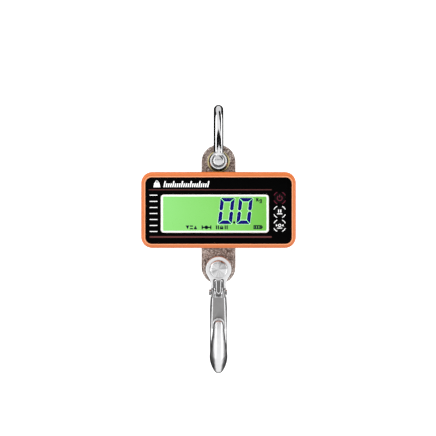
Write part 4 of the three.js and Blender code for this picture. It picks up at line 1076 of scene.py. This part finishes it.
def card_on_case(material):
    """A card lying on the case below the shackle's eye, seen only in reflections."""
    shell_low, shell_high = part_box("front_shell")
    front, back = shell_low.y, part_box("upper_bush_front")[0].y
    builder = bmesh.new()
    corners = rectangle(-CARD_HALF_WIDTH, CARD_HALF_WIDTH, front, back)
    builder.faces.new([builder.verts.new((x, y, shell_high.z + CARD_LIFT)) for x, y in corners])
    hide_from_camera(object_from("card_on_case", builder), material)


def area_light(name, place_at, aim, size, energy):
    """A rectangular lamp that no reflection shows."""
    data = bpy.data.lights.new(name, "AREA")
    data.shape = "RECTANGLE"
    data.size, data.size_y = size
    data.energy = energy
    lamp = link(bpy.data.objects.new(name, data))
    lamp.location = place_at
    lamp.visible_glossy = False
    lamp.rotation_euler = (Vector(aim) - Vector(place_at)).to_track_quat("-Z", "Y").to_euler()


def pale_world():
    """Surroundings that are nearly white below and greyer above."""
    world = bpy.data.worlds.new("studio")
    world.use_nodes = True
    tree = world.node_tree
    background = tree.nodes["Background"]
    coordinates = tree.nodes.new("ShaderNodeTexCoord")
    split = tree.nodes.new("ShaderNodeSeparateXYZ")
    tree.links.new(coordinates.outputs["Generated"], split.inputs["Vector"])
    upward = level_range(tree, split.outputs["Z"], 0.0, 1.0, -1.0, 1.0)
    shades = [(position, (grey,) * 3) for position, grey in WORLD_GREYS]
    tree.links.new(ramp(tree, upward, shades), background.inputs["Color"])
    background.inputs["Strength"].default_value = 1.0
    bpy.context.scene.world = world


def studio():
    """A tall strip light and its white card each side, a soft box above, and black flags behind the object
    and round the shackle's front."""
    pale_world()
    white = flag_material("white_card", 0.9, 1.05)
    for name, azimuth, width, energy in STRIPS:
        a = math.radians(azimuth)
        place_at = AIM + Vector((STRIP_RADIUS * math.sin(a), -STRIP_RADIUS * math.cos(a), 0))
        area_light(name, place_at, AIM, (width, 2 * STRIP_HALF_HEIGHT), energy)
        spread = math.degrees(math.atan(width / 2 / STRIP_RADIUS))
        edges = azimuth - spread, azimuth + spread
        low, high = AIM.z - STRIP_HALF_HEIGHT, AIM.z + STRIP_HALF_HEIGHT
        level_flag(name + "_card", white, STRIP_RADIUS, *edges, low, high)
    area_light("soft_box", (0, -0.45, 0.75), AIM, (0.9, 0.5), 3.2)

    black = flag_material("black_cloth", 0.012)
    for name, *extent in BACK_FLAGS:
        level_flag(name, black, BACK_FLAG_RADIUS, *extent)
    shackle_axis = (0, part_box("shackle_bow")[0].y)
    for name, lows, highs in SHACKLE_FLAGS:
        curved_flag(name, black, FLAG_RADIUS, lows, highs, shackle_axis)
    card_on_case(black)
    bpy.context.scene.view_settings.view_transform = "Standard"


# ---------- Assembly ----------


materials = make_materials()
keep_nodes(materials)
shackle_bow(materials)
hook(materials)
latch_spring(materials)
face_prints(materials)
display_content(materials)
for node, (finish, width, segments) in REFINED.items():
    refine(node, materials[finish], width * MM, segments, round_web_top if node == "latch" else None)

camera()
floor_and_backdrop()
studio()
